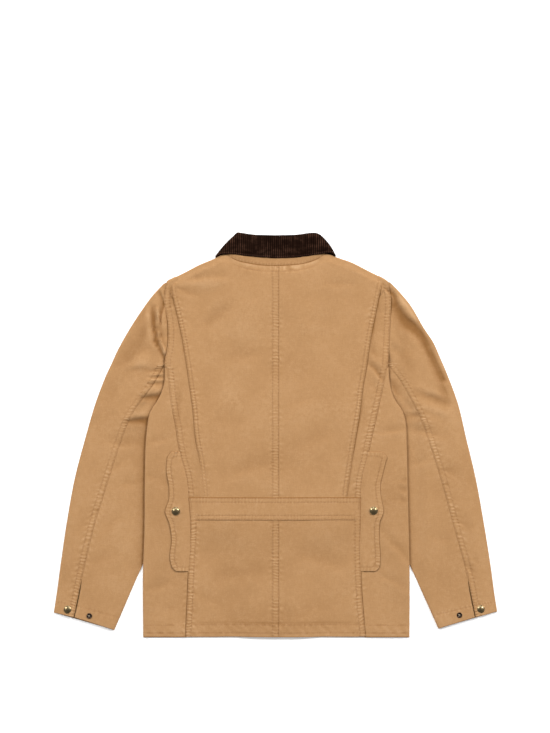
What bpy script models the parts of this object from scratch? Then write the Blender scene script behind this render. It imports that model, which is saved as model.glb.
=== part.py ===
# Canvas field jacket with a corduroy collar, lying flat with its back up.
# Metres, +Z up. X runs across the back, Y from the hem to the collar, and the fronts lie on Z = 0.
# Tables hold millimetres: heights above the hem and distances out from the centre back.
# Left and right are the wearer's, so the left side is at -X.

import math

import bmesh
import bpy
import numpy as np
from mathutils import Vector

MM = 0.001
LEFT = -1
RIGHT = 1
SIDES = {"left": LEFT, "right": RIGHT}

# Cloth and layers
CANVAS = 1.4
CORDUROY = 1.6
SEAM_GAP = 0.4
LAYER_GAP = 0.4
TWO_LAYERS = 3.6
PLEAT_LIFT = 1.7
SIDE_LEVEL = 3.5
FOLD_REACH = 3.0
COLLAR_FOLD_REACH = 4.0
SNAP_GAP = 0.3

# Shoulder edges, rounded down on the back and up on the front to meet in the seam.
# Columns: turn in degrees, share of the drop
SHOULDER_DROP = 1.45
SHOULDER_STARTS = 92
SHOULDER_FADE = 8
ROUNDING = ((40, 0.23), (80, 0.83), (80, 1.0))

# The whole garment
BODY_HEM = 2
BODY_LENGTH = 725
COLLAR_TOP = 790.4
UNDERARM = 560
PANEL_TOP = 526
SEAM_TOP = 528
WAIST_HEIGHT = 600

# Sleeves, tucked under the sides of the body
TUCK_RISE = 3.8
TUCK_FADE = 70
TUCK_FULL_BEFORE = 10
TUCK_STARTS = 630
TUCK_FULL = 530
PRESSED_SLEEVE = 3.2
SLEEVE_LOFT = 3.1
SLEEVE_LOFT_FADE = 30
SLEEVE_FOLD_FADE = 26
CAP_LIFT = 0.3
PRESSED_OUTSIDE_BODY = 12
PRESSED_INSIDE_ARMHOLE = 4
FRONT_SEAM_SHARE = 0.2
VENT_OPENING = 0.9

# Action pleats
TUCKED_UNDER_PLEAT = 16
PLEAT_OPENS = 22
PLEAT_FADE = 30
PLEAT_GAP = 1.4
SIDE_BACK_GAP = 0.3
UNDERARM_CLEAR = 1.6

# Front closure, underneath
LAP = 22
LAP_GAP = 0.9
FLY_LIFT = 3.7
FLY_FLAT = 29
FLY_FADE = 21
FLY_RISE = 1.6
BACK_OVER_FLY_FLAT = 30
BACK_OVER_FLY_FADE = 64

# Half belt, felled seam and hem
BELT_TOP = 275
BELT_BOTTOM = 230
WAIST_JOIN = 252
BELT_WALL = 1.8
FELL_HALF = 5.5
FELL_RISE = 0.6
FELL_SLOPE = 1.2
BELT_DIP = 1.8
BELT_DIP_FADE = 14
FLAP_WALL = 1.7

# Collar
COLLAR_RISE = 2.2
LEAF_TOP_LEVEL = 9.4
BAND_LEVEL = 7.4
STAND_LEVEL = 4.0
BAND_REACH = 92
TOP_FADE = 14
WALES = 62
WALE_RISE = 0.5
STAND_ENDS = 750
BAND_BELOW_FOLD = 4.5
COLLAR_FADE = 75
COLLAR_FADE_STARTS = 80
COLLAR_EDGE_RISE = 1.6

# The collar's front end, underneath: distance out and height of its corners
NECK_START = (64, 772)
EDGE_START = (110, 736)
COLLAR_POINT = (56, 649)
NECK_END = (9, 688)

# Snaps
CAP_RADIUS = 8.0
CAP_HEIGHT = 2.8
STUD_RADIUS = 5.4
STUD_HEIGHT = 2.0
FRONT_CAP_RADIUS = 7.5
FRONT_CAP_HEIGHT = 1.3
FRONT_CAP_EDGE = 0.8
FRONT_SNAP_HEIGHTS = (70, 215, 360, 505, 640)
FRONT_WIDTH = 200
FRONT_COLUMNS = (-22, 0, 24, 35, 46, 89, 110, 131, 152, 172, 193)

# Body outlines. Columns: height above the hem, distance out on the left, distance out on the right
SIDE_EDGE = (
    (0, 258, 261), (133, 258, 261), (211, 256.5, 260.5), (314, 256, 258.5), (386, 254, 257),
    (411, 251, 256), (441, 245, 249), (468, 227, 231), (493, 217.5, 223), (528, 215.5, 220.5),
    (560, 215, 220),
)
ARMHOLE = (
    (484, 211, 215), (503, 213, 217), (538, 214.5, 219.5), (577, 218.5, 221.5), (606, 220.5, 223),
    (634, 220, 224.5), (659, 218, 225.5), (679, 215, 222.5), (700, 211.5, 219),
)
SIDE_BACK_SEAM = (
    (0, 176, 176), (80, 172, 169), (133, 170, 166.5), (230, 166, 166), (275, 170, 167),
    (322, 176, 171.5), (347, 183, 178), (380, 190, 185), (415, 195, 193), (450, 202, 201),
    (497, 208, 211), (528, 211.5, 216.5), (560, 214, 219),
)
PLEAT_EDGE = (
    (230, 136, 135), (285, 141, 140), (341, 147, 148), (390, 156, 156), (454, 162, 166),
    (488, 167, 170), (528, 172.5, 177), (591, 183, 186.5), (640, 194, 196.5), (663, 199.5, 201),
    (700, 205, 210),
)
SIDE_SEAM = (
    (0, 200, 203), (314, 198, 201), (411, 196, 200), (468, 197, 201), (500, 200, 205),
    (528, 206, 211), (545, 210, 215), (577, 214, 218), (606, 217.5, 221.5), (660, 217, 224),
    (700, 211, 219),
)
TUCKED_EDGE = (
    (16, 314, 317), (60, 295, 296), (109, 274, 276), (181, 243, 245), (271, 214, 215),
    (351, 190, 192), (417, 182, 184), (468, 194, 198), (526, 212, 214),
)

# Top outlines. Columns: distance out from the centre back, height on the left, height on the right
SHOULDER_AND_NECK = (
    (0, 725, 725), (25, 726, 726), (52, 730, 729), (76, 736, 736), (90, 743, 743), (97, 748, 748.5),
    (104, 747, 748), (118, 739, 742.5), (147, 726, 731.5), (183, 706, 713.5), (204, 698, 703.5),
    (220, 691.5, 695),
)
FRONT_TOP = (
    (0, 684, 684), (12, 688, 688), (25, 697, 697), (40, 713, 713), (55, 730, 730), (75, 742, 742),
    (97, 748, 748.5), (104, 747, 748), (118, 739, 742.5), (147, 726, 731.5), (183, 706, 713.5),
    (204, 698, 703.5), (220, 691.5, 695),
)
LEAF_EDGE = (
    (0, 740, 740), (50, 743.5, 742.5), (84, 748, 748), (100, 749, 751), (111, 746, 748.5),
    (118, 742, 742.5),
)
LEAF_TOP = (
    (0, 785, 785), (48, 787, 787), (66, 789.5, 789.5), (75, 790, 790), (84, 782, 788),
    (98, 768.5, 776), (110, 754.5, 760), (118, 744, 745),
)

# Sleeve stations from shoulder to cuff, in pairs of distance out and height.
# Columns: outer fold, back seam on top, inner fold underneath the body
SLEEVE_LEFT = (
    ((219, 690), (212.5, 693.5), (212.5, 693.5)),
    ((241, 666), (218.5, 663), (218, 662)),
    ((264, 634), (220.8, 624), (218.8, 623)),
    ((284, 603), (219.8, 585), (217.6, 585)),
    ((305, 566), (217, 548), (215.5, 548)),
    ((319, 536), (219, 530), (212, 526)),
    ((334, 503), (241, 491), (194, 468)),
    ((352, 454), (279, 437), (182, 417)),
    ((370, 392), (302, 380), (190, 351)),
    ((391, 312), (329, 296), (214, 271)),
    ((407, 224), (353, 219), (243, 181)),
    ((419, 142), (373, 135), (274, 109)),
    ((426, 90), (383, 83), (295, 60)),
    ((432, 50), (392, 41), (314, 16)),
)
SLEEVE_RIGHT = (
    ((225, 692), (219.5, 694.5), (219.5, 694.5)),
    ((243, 673), (226, 663), (225, 662)),
    ((264, 647), (225.2, 624), (222.8, 623)),
    ((288, 606), (222.8, 585), (221.4, 585)),
    ((307, 577), (221, 548), (220, 548)),
    ((321, 546), (222, 530), (214, 526)),
    ((339, 503), (245, 499), (198, 468)),
    ((357, 452), (279, 435), (184, 417)),
    ((371, 392), (299, 382), (192, 351)),
    ((390, 312), (325, 300), (215, 271)),
    ((406, 224), (346, 222), (245, 181)),
    ((419, 142), (370, 135), (276, 111)),
    ((426, 90), (380, 84), (296, 66)),
    ((432, 52), (389, 41), (317, 19)),
)
UNDER_SLEEVE_STARTS = 5
VENT_STARTS = 11.2

# Pocket flaps. Columns: height above the hem, outer edge on the left, outer edge on the right
FLAP_EDGE = (
    (130, 193, 195), (138, 201, 202), (148, 204.5, 203.5), (197, 202.5, 202), (224, 207, 202.5),
    (248, 215, 210.5), (269, 208.5, 207), (298, 207.5, 204), (322, 212, 209.5), (343, 212, 214.5),
    (356, 209, 216), (364, 203, 206),
)
FLAP_SNAPS = {"left": (194, 248), "right": (191, 249)}
CUFF_SNAPS = {"left": (404, 56), "right": (399, 57)}
CUFF_STUDS = {"left": (362.5, 44), "right": (358, 45.5)}

# Largest folds of the upper cloth, as soft troughs (-) and ridges (+).
# Columns: from out, from height, to out, to height, half width, rise
FOLD_FROM_TOP = 8
FOLD_FROM_PLEAT = 20
DEEPEST_BODY_FOLD = -1.0
SIDE_FOLD_SHARE = 0.4
SLEEVE_FOLDS = {
    "left": (
        (236, 634, 233, 590, 9, -2.0),
        (226, 640, 222, 590, 7, 0.8),
        (262, 560, 300, 540, 20, -1.4),
        (232, 527, 276, 510, 9, -1.6),
        (232, 499, 290, 482, 10, -1.6),
        (238, 474, 300, 470, 11, -1.7),
        (256, 425, 302, 408, 10, -1.6),
        (270, 382, 330, 382, 8, 1.0),
    ),
    "right": (
        (229, 672, 242, 640, 8, -2.0),
        (242, 640, 268, 614, 10, -2.4),
        (268, 614, 295, 575, 11, -2.6),
        (295, 575, 330, 503, 12, -2.4),
        (282, 478, 334, 458, 11, -1.8),
        (228, 500, 232, 476, 8, -1.6),
        (258, 425, 292, 400, 10, -1.6),
        (370, 146, 385, 127, 6, -1.0),
    ),
}
BODY_FOLDS = {
    "left": (
        (102, 704, 182, 702, 11, -0.8),
        (128, 616, 84, 653, 14, -0.7),
        (187, 464, 190, 425, 7, -0.8),
    ),
    "right": (
        (186, 575, 196, 549, 7, -0.9),
        (180, 536, 203, 512, 8, -1.1),
        (204, 214, 258, 157, 9, -0.9),
        (250, 308, 258, 306, 7, -0.7),
        (248, 290, 258, 288, 7, -0.7),
    ),
}

# Colours from the garment
TAN = (0.56, 0.31, 0.14)
BROWN = (0.026, 0.011, 0.006)
BRASS = (0.20, 0.14, 0.07)


def smooth(share):
    share = min(max(share, 0.0), 1.0)
    return share * share * (3 - 2 * share)


def mix(a, b, share):
    return a + (b - a) * share


class Table:
    """A smooth line through the rows of a table, read by its first column."""

    def __init__(self, rows):
        numbers = np.array(sorted(rows), float)
        self.at = numbers[:, 0]
        self.values = numbers[:, 1:]
        self.slopes = np.gradient(self.values, self.at, axis=0)

    def __call__(self, side, at):
        column = 0 if side == LEFT else 1
        row = int(np.clip(np.searchsorted(self.at, at) - 1, 0, len(self.at) - 2))
        span = self.at[row + 1] - self.at[row]
        t = min(max((at - self.at[row]) / span, 0.0), 1.0)
        a, b = self.values[row, column], self.values[row + 1, column]
        slope_a = self.slopes[row, column] * span
        slope_b = self.slopes[row + 1, column] * span
        curve = (2 * t**3 - 3 * t**2 + 1) * a + (t**3 - 2 * t**2 + t) * slope_a
        return curve + (3 * t**2 - 2 * t**3) * b + (t**3 - t**2) * slope_b


side_edge = Table(SIDE_EDGE)
armhole = Table(ARMHOLE)
side_back_seam = Table(SIDE_BACK_SEAM)
pleat_edge = Table(PLEAT_EDGE)
side_seam = Table(SIDE_SEAM)
tucked_edge = Table(TUCKED_EDGE)
back_top = Table(SHOULDER_AND_NECK)
front_top = Table(FRONT_TOP)
leaf_edge = Table(LEAF_EDGE)
leaf_top = Table(LEAF_TOP)
flap_edge = Table(FLAP_EDGE)


def side_of(x):
    return LEFT if x < 0 else RIGHT


def fold_height(folds, out, height):
    total = 0.0
    for out_a, height_a, out_b, height_b, half, rise in folds:
        run = np.array((out_b - out_a, height_b - height_a), float)
        offset = np.array((out - out_a, height - height_a), float)
        share = min(max(offset @ run / (run @ run), 0.0), 1.0)
        away = np.linalg.norm(offset - run * share)
        total += rise * math.exp(-((away / half) ** 2))
    return total


# Levels, in millimetres above the surface that the jacket lies on


def beyond(spot, start, end):
    """How far a spot lies to the left of the line from start to end."""
    run_out, run_up = end[0] - start[0], end[1] - start[1]
    out, up = spot[0] - start[0], spot[1] - start[1]
    return (run_out * up - run_up * out) / math.hypot(run_out, run_up)


def collar_front_share(x, y):
    """One over the collar's front ends, fading just outside them."""
    spot = (abs(x), y)
    inside = min(beyond(spot, COLLAR_POINT, EDGE_START), beyond(spot, NECK_END, COLLAR_POINT))
    return smooth((inside + COLLAR_FADE_STARTS) / COLLAR_FADE)


def rest_level(x, y):
    """What the fronts lie on: the table, the tucked sleeves and the collar's front ends."""
    side = side_of(x)
    over = (abs(x) - tucked_edge(side, y) + TUCK_FADE) / (TUCK_FADE - TUCK_FULL_BEFORE)
    start = (TUCK_STARTS - y) / (TUCK_STARTS - TUCK_FULL)
    return TUCK_RISE * smooth(over) * smooth(start) + COLLAR_RISE * collar_front_share(x, y)


def fly_share(x):
    return smooth((FLY_FLAT + FLY_FADE - abs(x)) / FLY_FADE)


def back_over_fly(x):
    return smooth((BACK_OVER_FLY_FLAT + BACK_OVER_FLY_FADE - abs(x)) / BACK_OVER_FLY_FADE)


def below_top(x, y):
    return smooth((back_top(side_of(x), abs(x)) - FOLD_REACH - y) / TOP_FADE)


def felled(x):
    return FELL_RISE * smooth(FELL_HALF + 1 - abs(x))


def body_folds(x, y):
    name = "left" if x < 0 else "right"
    inside = smooth((back_top(side_of(x), abs(x)) - y - FOLD_FROM_TOP) / TOP_FADE)
    return fold_height(BODY_FOLDS[name], abs(x), y) * inside


def center_level(x, y):
    lift = mix(PLEAT_LIFT, FLY_LIFT, back_over_fly(x))
    clear_of_pleat = smooth((pleat_edge(side_of(x), y) - abs(x)) / FOLD_FROM_PLEAT - 1)
    folds = body_folds(x, y) * clear_of_pleat * below_top(x, y)
    lifted = lift * below_top(x, y) + felled(x) + max(folds, DEEPEST_BODY_FOLD)
    return rest_level(x, y) + TWO_LAYERS + lifted


def side_level(x, y):
    return rest_level(x, y) + SIDE_LEVEL + SIDE_FOLD_SHARE * body_folds(x, y)


def skirt_level(x, y):
    lift = FLY_LIFT * back_over_fly(x)
    return rest_level(x, y) + TWO_LAYERS + lift + felled(x)


def front_level(name):
    rise = FLY_RISE if name == "left" else FLY_RISE + CANVAS + LAP_GAP
    return lambda x, y: rest_level(x, y) + rise * fly_share(x)


def sleeve_level(name, outer_line):
    """The top cloth of a sleeve: level with the body at the armhole, low under the body's side."""
    side = SIDES[name]

    def level(x, y):
        out = abs(x)
        from_body = out - side_edge(side, y) - PRESSED_OUTSIDE_BODY
        if y >= UNDERARM:
            from_body = out - armhole(side, y) + PRESSED_INSIDE_ARMHOLE
        from_fold = outer_line(y) - out
        loft = SLEEVE_LOFT * smooth(from_body / SLEEVE_LOFT_FADE) * smooth(from_fold / SLEEVE_FOLD_FADE)
        folds = fold_height(SLEEVE_FOLDS[name], out, y) * smooth(from_fold / 10) * smooth(from_body / 6)
        cap = CAP_LIFT * smooth((y - UNDERARM) / 60)
        return PRESSED_SLEEVE + cap + max(loft + folds, 0.0)

    return level


# Meshes


def material(name, colour, roughness, metallic=0.0):
    made = bpy.data.materials.new(name)
    made.use_nodes = True
    shader = made.node_tree.nodes["Principled BSDF"]
    shader.inputs["Base Color"].default_value = (*colour, 1)
    shader.inputs["Roughness"].default_value = roughness
    shader.inputs["Metallic"].default_value = metallic
    made.diffuse_color = (*colour, 1)
    return made


def add_object(name, mesh, finish, collection, parent):
    mesh.materials.append(finish)
    mesh.shade_smooth()
    mesh.set_sharp_from_angle(angle=math.radians(40))
    obj = bpy.data.objects.new(name, mesh)
    collection.objects.link(obj)
    obj.parent = parent
    return obj


def sheet_mesh(name, rows, facing_up=True):
    """An open sheet from equal rows of points in millimetres, its face side up or down at its start."""
    across = len(rows[0]) - 1
    along = len(rows) - 1
    bm = bmesh.new()
    bmesh.ops.create_grid(bm, x_segments=across, y_segments=along, size=1)
    bm.verts.ensure_lookup_table()
    for index, vert in enumerate(bm.verts):
        vert.co = Vector(rows[index // (across + 1)][index % (across + 1)]) * MM
    bm.normal_update()
    bm.faces.ensure_lookup_table()
    if (bm.faces[0].normal.z > 0) != facing_up:
        bmesh.ops.reverse_faces(bm, faces=bm.faces)
    mesh = bpy.data.meshes.new(name)
    bm.to_mesh(mesh)
    bm.free()
    return mesh


def add_wall(name, rows, wall, finish, place, facing_up=True):
    """A cloth wall whose face side is the sheet through the rows."""
    obj = add_object(name, sheet_mesh(name, rows, facing_up), finish, *place)
    solidify = obj.modifiers.new("Wall", "SOLIDIFY")
    solidify.thickness = wall * MM
    solidify.offset = -1
    return obj


def shares(count):
    return [i / count for i in range(count + 1)]


def panel_rows(inner, outer, bottom, top, columns, count_up, level, drop=0.0, drop_share=None):
    """Rows of points between two seam lines. Columns are shares from the inner line to the outer.
    With a drop, the last rows round over the top edge."""
    lines = []
    for share in columns:
        y_low, y_high = BODY_HEM, BODY_LENGTH
        for _ in range(5):
            y_low = bottom(mix(inner(y_low), outer(y_low), share))
            y_high = top(mix(inner(y_high), outer(y_high), share))
        line = []
        heights = [mix(y_low, y_high, up) for up in shares(count_up)]
        if drop:
            y_turn = y_high - FOLD_REACH
            heights = [mix(y_low, y_turn - TOP_FADE, up) for up in shares(count_up - 1)] + [y_turn]
        for y in heights:
            x = mix(inner(y), outer(y), share)
            line.append((x, y, level(x, y)))
        if drop:
            x, y_edge, z = line[-1]
            x_edge = mix(inner(y_high), outer(y_high), share)
            for turn, fallen in ROUNDING:
                part = math.sin(math.radians(turn))
                fall = drop * fallen * drop_share(x_edge)
                y_round = y_edge + FOLD_REACH * part
                line.append((mix(x, x_edge, part), y_round, z - fall))
        lines.append(line)
    return [list(row) for row in zip(*lines)]


def folded_path(start, edge, end, top, bottom, count_top, count_under, reach=FOLD_REACH):
    """A path on top from start to a folded edge, round it, and back underneath to end."""
    start, edge, end = (np.array(point, float) for point in (start, edge, end))
    to_start = start - edge
    to_end = end - edge
    reach = min(reach, 0.45 * np.linalg.norm(to_start), 0.45 * np.linalg.norm(to_end))
    to_start /= np.linalg.norm(to_start)
    to_end /= np.linalg.norm(to_end)
    turn_top = edge + to_start * reach
    turn_under = edge + to_end * reach
    z_top = top(*turn_top)
    z_under = bottom(*turn_under)
    path = []
    for share in shares(count_top):
        point = mix(start, turn_top, share)
        path.append((*point, top(*point)))
    for turn in (45, 0, -45):
        angle = math.radians(turn)
        towards = mix(to_end, to_start, 0.5 + 0.5 * math.sin(angle))
        point = edge + towards * reach * (1 - math.cos(angle))
        path.append((*point, mix(z_under, z_top, 0.5 + 0.5 * math.sin(angle))))
    for share in shares(count_under):
        point = mix(turn_under, end, share)
        path.append((*point, bottom(*point)))
    return path


def over_shoulder(x):
    return smooth((abs(x) - SHOULDER_STARTS) / SHOULDER_FADE)


def back_columns(width, count=9):
    """Shares across a back panel: the felled strip, then even steps."""
    strip = (FELL_HALF + FELL_SLOPE) / width
    return [0, FELL_HALF / width] + [mix(strip, 1, share) for share in shares(count)]


def make_back(name, finish, place):
    side = SIDES[name]

    def middle(y):
        return side * SEAM_GAP / 2

    def pleat(y):
        return side * pleat_edge(side, y)

    rows = panel_rows(
        middle,
        pleat,
        lambda x: WAIST_JOIN + SEAM_GAP / 2,
        lambda x: back_top(side, abs(x)),
        back_columns(pleat_edge(side, WAIST_HEIGHT)),
        17,
        center_level,
        SHOULDER_DROP,
        over_shoulder,
    )
    add_wall(f"back_center_{name}", rows, CANVAS, finish, place)


def make_side_back(name, finish, place):
    side = SIDES[name]
    top_edge = back_top(side, PLEAT_EDGE[-1][1])

    def tucked(y):
        tuck = TUCKED_UNDER_PLEAT * smooth((top_edge - PLEAT_OPENS - y) / PLEAT_FADE)
        return side * (pleat_edge(side, y) + PLEAT_GAP - tuck)

    def outer(y):
        seam = side_back_seam(side, y) if y < SEAM_TOP else armhole(side, y)
        return side * (seam - SIDE_BACK_GAP)

    rows = panel_rows(
        tucked,
        outer,
        lambda x: WAIST_JOIN + SEAM_GAP / 2,
        lambda x: back_top(side, abs(x)),
        [0, 0.25, 0.5, 0.75, 1],
        18,
        side_level,
        SHOULDER_DROP,
        over_shoulder,
    )
    add_wall(f"side_back_{name}", rows, CANVAS, finish, place)


def make_side_panel(name, finish, place):
    side = SIDES[name]
    rows = []
    for share in shares(20):
        y = mix(BODY_HEM, PANEL_TOP, share)
        clear = UNDERARM_CLEAR * smooth((y - PANEL_TOP + 46) / 30)
        start = (side * (side_back_seam(side, y) + SEAM_GAP + clear), y)
        edge = (side * side_edge(side, y), y)
        end = (side * (side_seam(side, y) + SEAM_GAP / 2 + 0.5 * clear), y)
        rows.append(folded_path(start, edge, end, side_level, rest_level, 5, 2))
    add_wall(f"side_panel_{name}", rows, CANVAS, finish, place)


def make_skirt(name, finish, place):
    side = SIDES[name]
    rows = panel_rows(
        lambda y: side * SEAM_GAP / 2,
        lambda y: side * (side_back_seam(side, y) - SEAM_GAP / 2),
        lambda x: BODY_HEM,
        lambda x: WAIST_JOIN - SEAM_GAP / 2,
        back_columns(side_back_seam(side, 100)),
        9,
        skirt_level,
    )
    add_wall(f"skirt_{name}", rows, CANVAS, finish, place)


def make_front(name, finish, place):
    side = SIDES[name]
    rows = panel_rows(
        lambda y: -side * LAP,
        lambda y: side * (side_seam(side, y) - SEAM_GAP / 2),
        lambda x: BODY_HEM,
        lambda x: front_top(side, abs(x)),
        [(out + LAP) / (FRONT_WIDTH + LAP) for out in FRONT_COLUMNS] + [1],
        20,
        front_level(name),
        -SHOULDER_DROP,
        over_shoulder,
    )
    add_wall(f"front_{name}", rows, CANVAS, finish, place, facing_up=False)


def sleeve_stations(table):
    """The sleeve's three lines, evenly spread between the table's stations."""
    numbers = np.array(table, float).reshape(len(table), 6)
    slopes = np.gradient(numbers, axis=0)

    def at(station):
        row = int(min(station, len(table) - 2))
        t = station - row
        a, b = numbers[row], numbers[row + 1]
        curve = (2 * t**3 - 3 * t**2 + 1) * a + (t**3 - 2 * t**2 + t) * slopes[row]
        curve = curve + (3 * t**2 - 2 * t**3) * b + (t**3 - t**2) * slopes[row + 1]
        return curve.reshape(3, 2)

    return at, len(table) - 1


def make_sleeve(name, finish, place):
    side = SIDES[name]
    at, last = sleeve_stations(SLEEVE_LEFT if name == "left" else SLEEVE_RIGHT)
    along = [at(station)[0] for station in np.linspace(0, last, 60)]
    heights = [point[1] for point in along][::-1]
    outs = [point[0] for point in along][::-1]
    level = sleeve_level(name, lambda y: np.interp(y, heights, outs))
    mirror = np.array((side, 1.0))
    top_rows = []
    under_rows = []
    for station in [0, 0.5, *np.arange(1, last + 0.1, 0.5)]:
        outer, seam, inner = at(station)
        across = (outer - seam) / np.linalg.norm(outer - seam)
        opening = VENT_OPENING * smooth((station - VENT_STARTS) / 0.6)
        gap = across * (SEAM_GAP / 2 + opening)
        front_seam = mix(inner, outer, FRONT_SEAM_SHARE)
        if station < UNDER_SLEEVE_STARTS:
            to_armhole = np.array((side_seam(side, inner[1]) + 2 * SEAM_GAP, inner[1]))
            blend = smooth((station - UNDER_SLEEVE_STARTS + 1.2) / 1.2)
            front_seam = mix(to_armhole, front_seam, blend)
        start = (seam + gap) * mirror
        edge = outer * mirror
        end = (front_seam + across * SEAM_GAP / 2) * mirror
        top_rows.append(folded_path(start, edge, end, level, lambda x, y: 0.0, 5, 1))
        if station >= UNDER_SLEEVE_STARTS:
            start = (seam - gap) * mirror
            edge = inner * mirror
            end = (front_seam - across * SEAM_GAP / 2) * mirror
            under_rows.append(folded_path(start, edge, end, level, lambda x, y: 0.0, 3, 1))
    add_wall(f"top_sleeve_{name}", top_rows, CANVAS, finish, place)
    add_wall(f"under_sleeve_{name}", under_rows, CANVAS, finish, place)
    return level


def belt_level(x, y):
    pleat = pleat_edge(side_of(x), BELT_TOP)
    dip = BELT_DIP * smooth((abs(x) - pleat - 3) / BELT_DIP_FADE)
    return center_level(x, y) - dip + LAYER_GAP + BELT_WALL


def make_belt(finish, place):
    def end(side):
        return lambda y: side * (side_back_seam(side, y) - SEAM_GAP)

    columns = shares(26)
    rows = panel_rows(
        end(LEFT), end(RIGHT), lambda x: BELT_BOTTOM, lambda x: BELT_TOP, columns, 2, belt_level
    )
    add_wall("half_belt", rows, BELT_WALL, finish, place)


def make_flap(name, finish, place):
    side = SIDES[name]

    def level(x, y):
        return side_level(x, y) + LAYER_GAP + FLAP_WALL

    rows = panel_rows(
        lambda y: side * (side_back_seam(side, y) + SEAM_GAP / 2),
        lambda y: side * flap_edge(side, y),
        lambda x: FLAP_EDGE[0][0],
        lambda x: FLAP_EDGE[-1][0],
        shares(3),
        15,
        level,
    )
    add_wall(f"pocket_flap_{name}", rows, FLAP_WALL, finish, place)
    return level


def band_level(x, y):
    side = side_of(x)
    above = smooth((y - back_top(side, abs(x)) - 1) / 10)
    seam_level = rest_level(x, back_top(side, abs(x))) + TWO_LAYERS
    return mix(seam_level, BAND_LEVEL, above)


def make_neck_band(finish, place):
    columns = []
    for side in (LEFT, RIGHT):
        width = pleat_edge(side, WAIST_HEIGHT)
        reach = pleat_edge(side, BODY_LENGTH)
        outs = [share * reach for share in back_columns(width) if share * reach < BAND_REACH]
        columns += [0.5 + side * out / (2 * BAND_REACH) for out in outs]
    columns = sorted({round(share, 6) for share in [0, 1, *columns]})

    def top(x):
        return leaf_top(side_of(x), abs(x)) - BAND_BELOW_FOLD

    rows = panel_rows(
        lambda y: -BAND_REACH,
        lambda y: BAND_REACH,
        lambda x: back_top(side_of(x), abs(x)) + 2 * SEAM_GAP,
        top,
        columns,
        4,
        band_level,
    )
    add_wall("neck_band", rows, CANVAS, finish, place)


def front_end_start(out):
    """Height of the line where the collar's front end begins, at a distance out."""
    share = (out - NECK_START[0]) / (EDGE_START[0] - NECK_START[0])
    return mix(NECK_START[1], EDGE_START[1], share)


def make_collar(finish, place):
    reach = LEAF_EDGE[-1][0] - 1
    count = 2 * WALES
    rows = []
    for column in range(count + 1):
        x = mix(-reach, reach, column / count)
        side = side_of(x)
        out = abs(x)
        low = leaf_edge(side, out)
        high = leaf_top(side, out)
        turned = smooth((out - 56) / 12)
        end = mix(STAND_ENDS, front_end_start(max(out, NECK_START[0])) + 1, turned)
        under = STAND_LEVEL * (1 - smooth((out - 58) / 18))
        path = folded_path(
            (x, low),
            (x, high),
            (x, end),
            lambda x, y: LEAF_TOP_LEVEL,
            lambda x, y, under=under: under,
            1,
            1,
            reach=COLLAR_FOLD_REACH,
        )
        rows.append(path)
    leaf = add_wall("collar_leaf", rows, CORDUROY, finish, place)
    raise_wales(leaf, rows)
    for name, side in SIDES.items():
        make_collar_front(name, side, finish, place)


def raise_wales(leaf, rows):
    """Lifts every second line of the collar's face side, and leaves its inner side plain."""
    graph = bpy.context.evaluated_depsgraph_get()
    walled = bpy.data.meshes.new_from_object(leaf.evaluated_get(graph))
    leaf.modifiers.clear()
    across = len(rows[0])
    raised_to = 4
    for column in range(1, len(rows) - 1, 2):
        for row in range(raised_to):
            vert = walled.vertices[column * across + row]
            rise = WALE_RISE if row < raised_to - 1 else 0.5 * WALE_RISE
            vert.co.z += rise * MM
    leaf.data = walled


def make_collar_front(name, side, finish, place):
    """The collar's front end, flat on the surface, its neck edge turned up."""
    neck_start, edge_start, point, neck_end = (
        np.array(corner) for corner in (NECK_START, EDGE_START, COLLAR_POINT, NECK_END)
    )
    mirror = np.array((side, 1.0))
    rows = []
    for share in shares(6):
        neck = mix(neck_start, neck_end, share)
        edge = mix(edge_start, point, share)
        towards = (neck - edge) / np.linalg.norm(neck - edge)
        row = []
        for part in shares(4):
            spot = mix(edge, neck - towards * FOLD_REACH, part) * mirror
            row.append((*spot, 0.0))
        for turn in (45, 85):
            angle = math.radians(turn)
            spot = (neck - towards * FOLD_REACH * (1 - math.sin(angle))) * mirror
            row.append((*spot, COLLAR_EDGE_RISE * (1 - math.cos(angle))))
        rows.append(row)
    add_wall(f"collar_front_{name}", rows, CORDUROY, finish, place, facing_up=False)


def add_turned(name, profile, finish, place, location, steps=12):
    """A turned piece from a profile of radius and height, run down its outer side."""
    bm = bmesh.new()
    verts = [bm.verts.new((radius * MM, 0, height * MM)) for radius, height in profile]
    for a, b in zip(verts, verts[1:]):
        bm.edges.new((a, b))
    mesh = bpy.data.meshes.new(name)
    bm.to_mesh(mesh)
    bm.free()
    obj = add_object(name, mesh, finish, *place)
    screw = obj.modifiers.new("Turn", "SCREW")
    screw.steps = steps
    screw.render_steps = steps
    screw.use_merge_vertices = True
    screw.merge_threshold = 0.00001
    screw.use_smooth_shade = True
    obj.location = Vector(location) * MM
    return obj


def cap_profile(radius, height):
    return (
        (0, height),
        (0.55 * radius, 0.93 * height),
        (0.86 * radius, 0.70 * height),
        (radius, 0.34 * height),
        (0.95 * radius, 0),
        (0, 0),
    )


def stud_profile(radius, height):
    return (
        (0, 0.45 * height),
        (0.32 * radius, 0.45 * height),
        (0.42 * radius, height),
        (0.62 * radius, height),
        (0.72 * radius, 0.45 * height),
        (radius, 0.30 * height),
        (0.96 * radius, 0),
        (0, 0),
    )


def highest(level, x, y, radius):
    """The highest point of the cloth under a snap."""
    found = level(x, y)
    for turn in range(8):
        angle = math.radians(45 * turn)
        found = max(found, level(x + radius * math.cos(angle), y + radius * math.sin(angle)))
    return found


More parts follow.
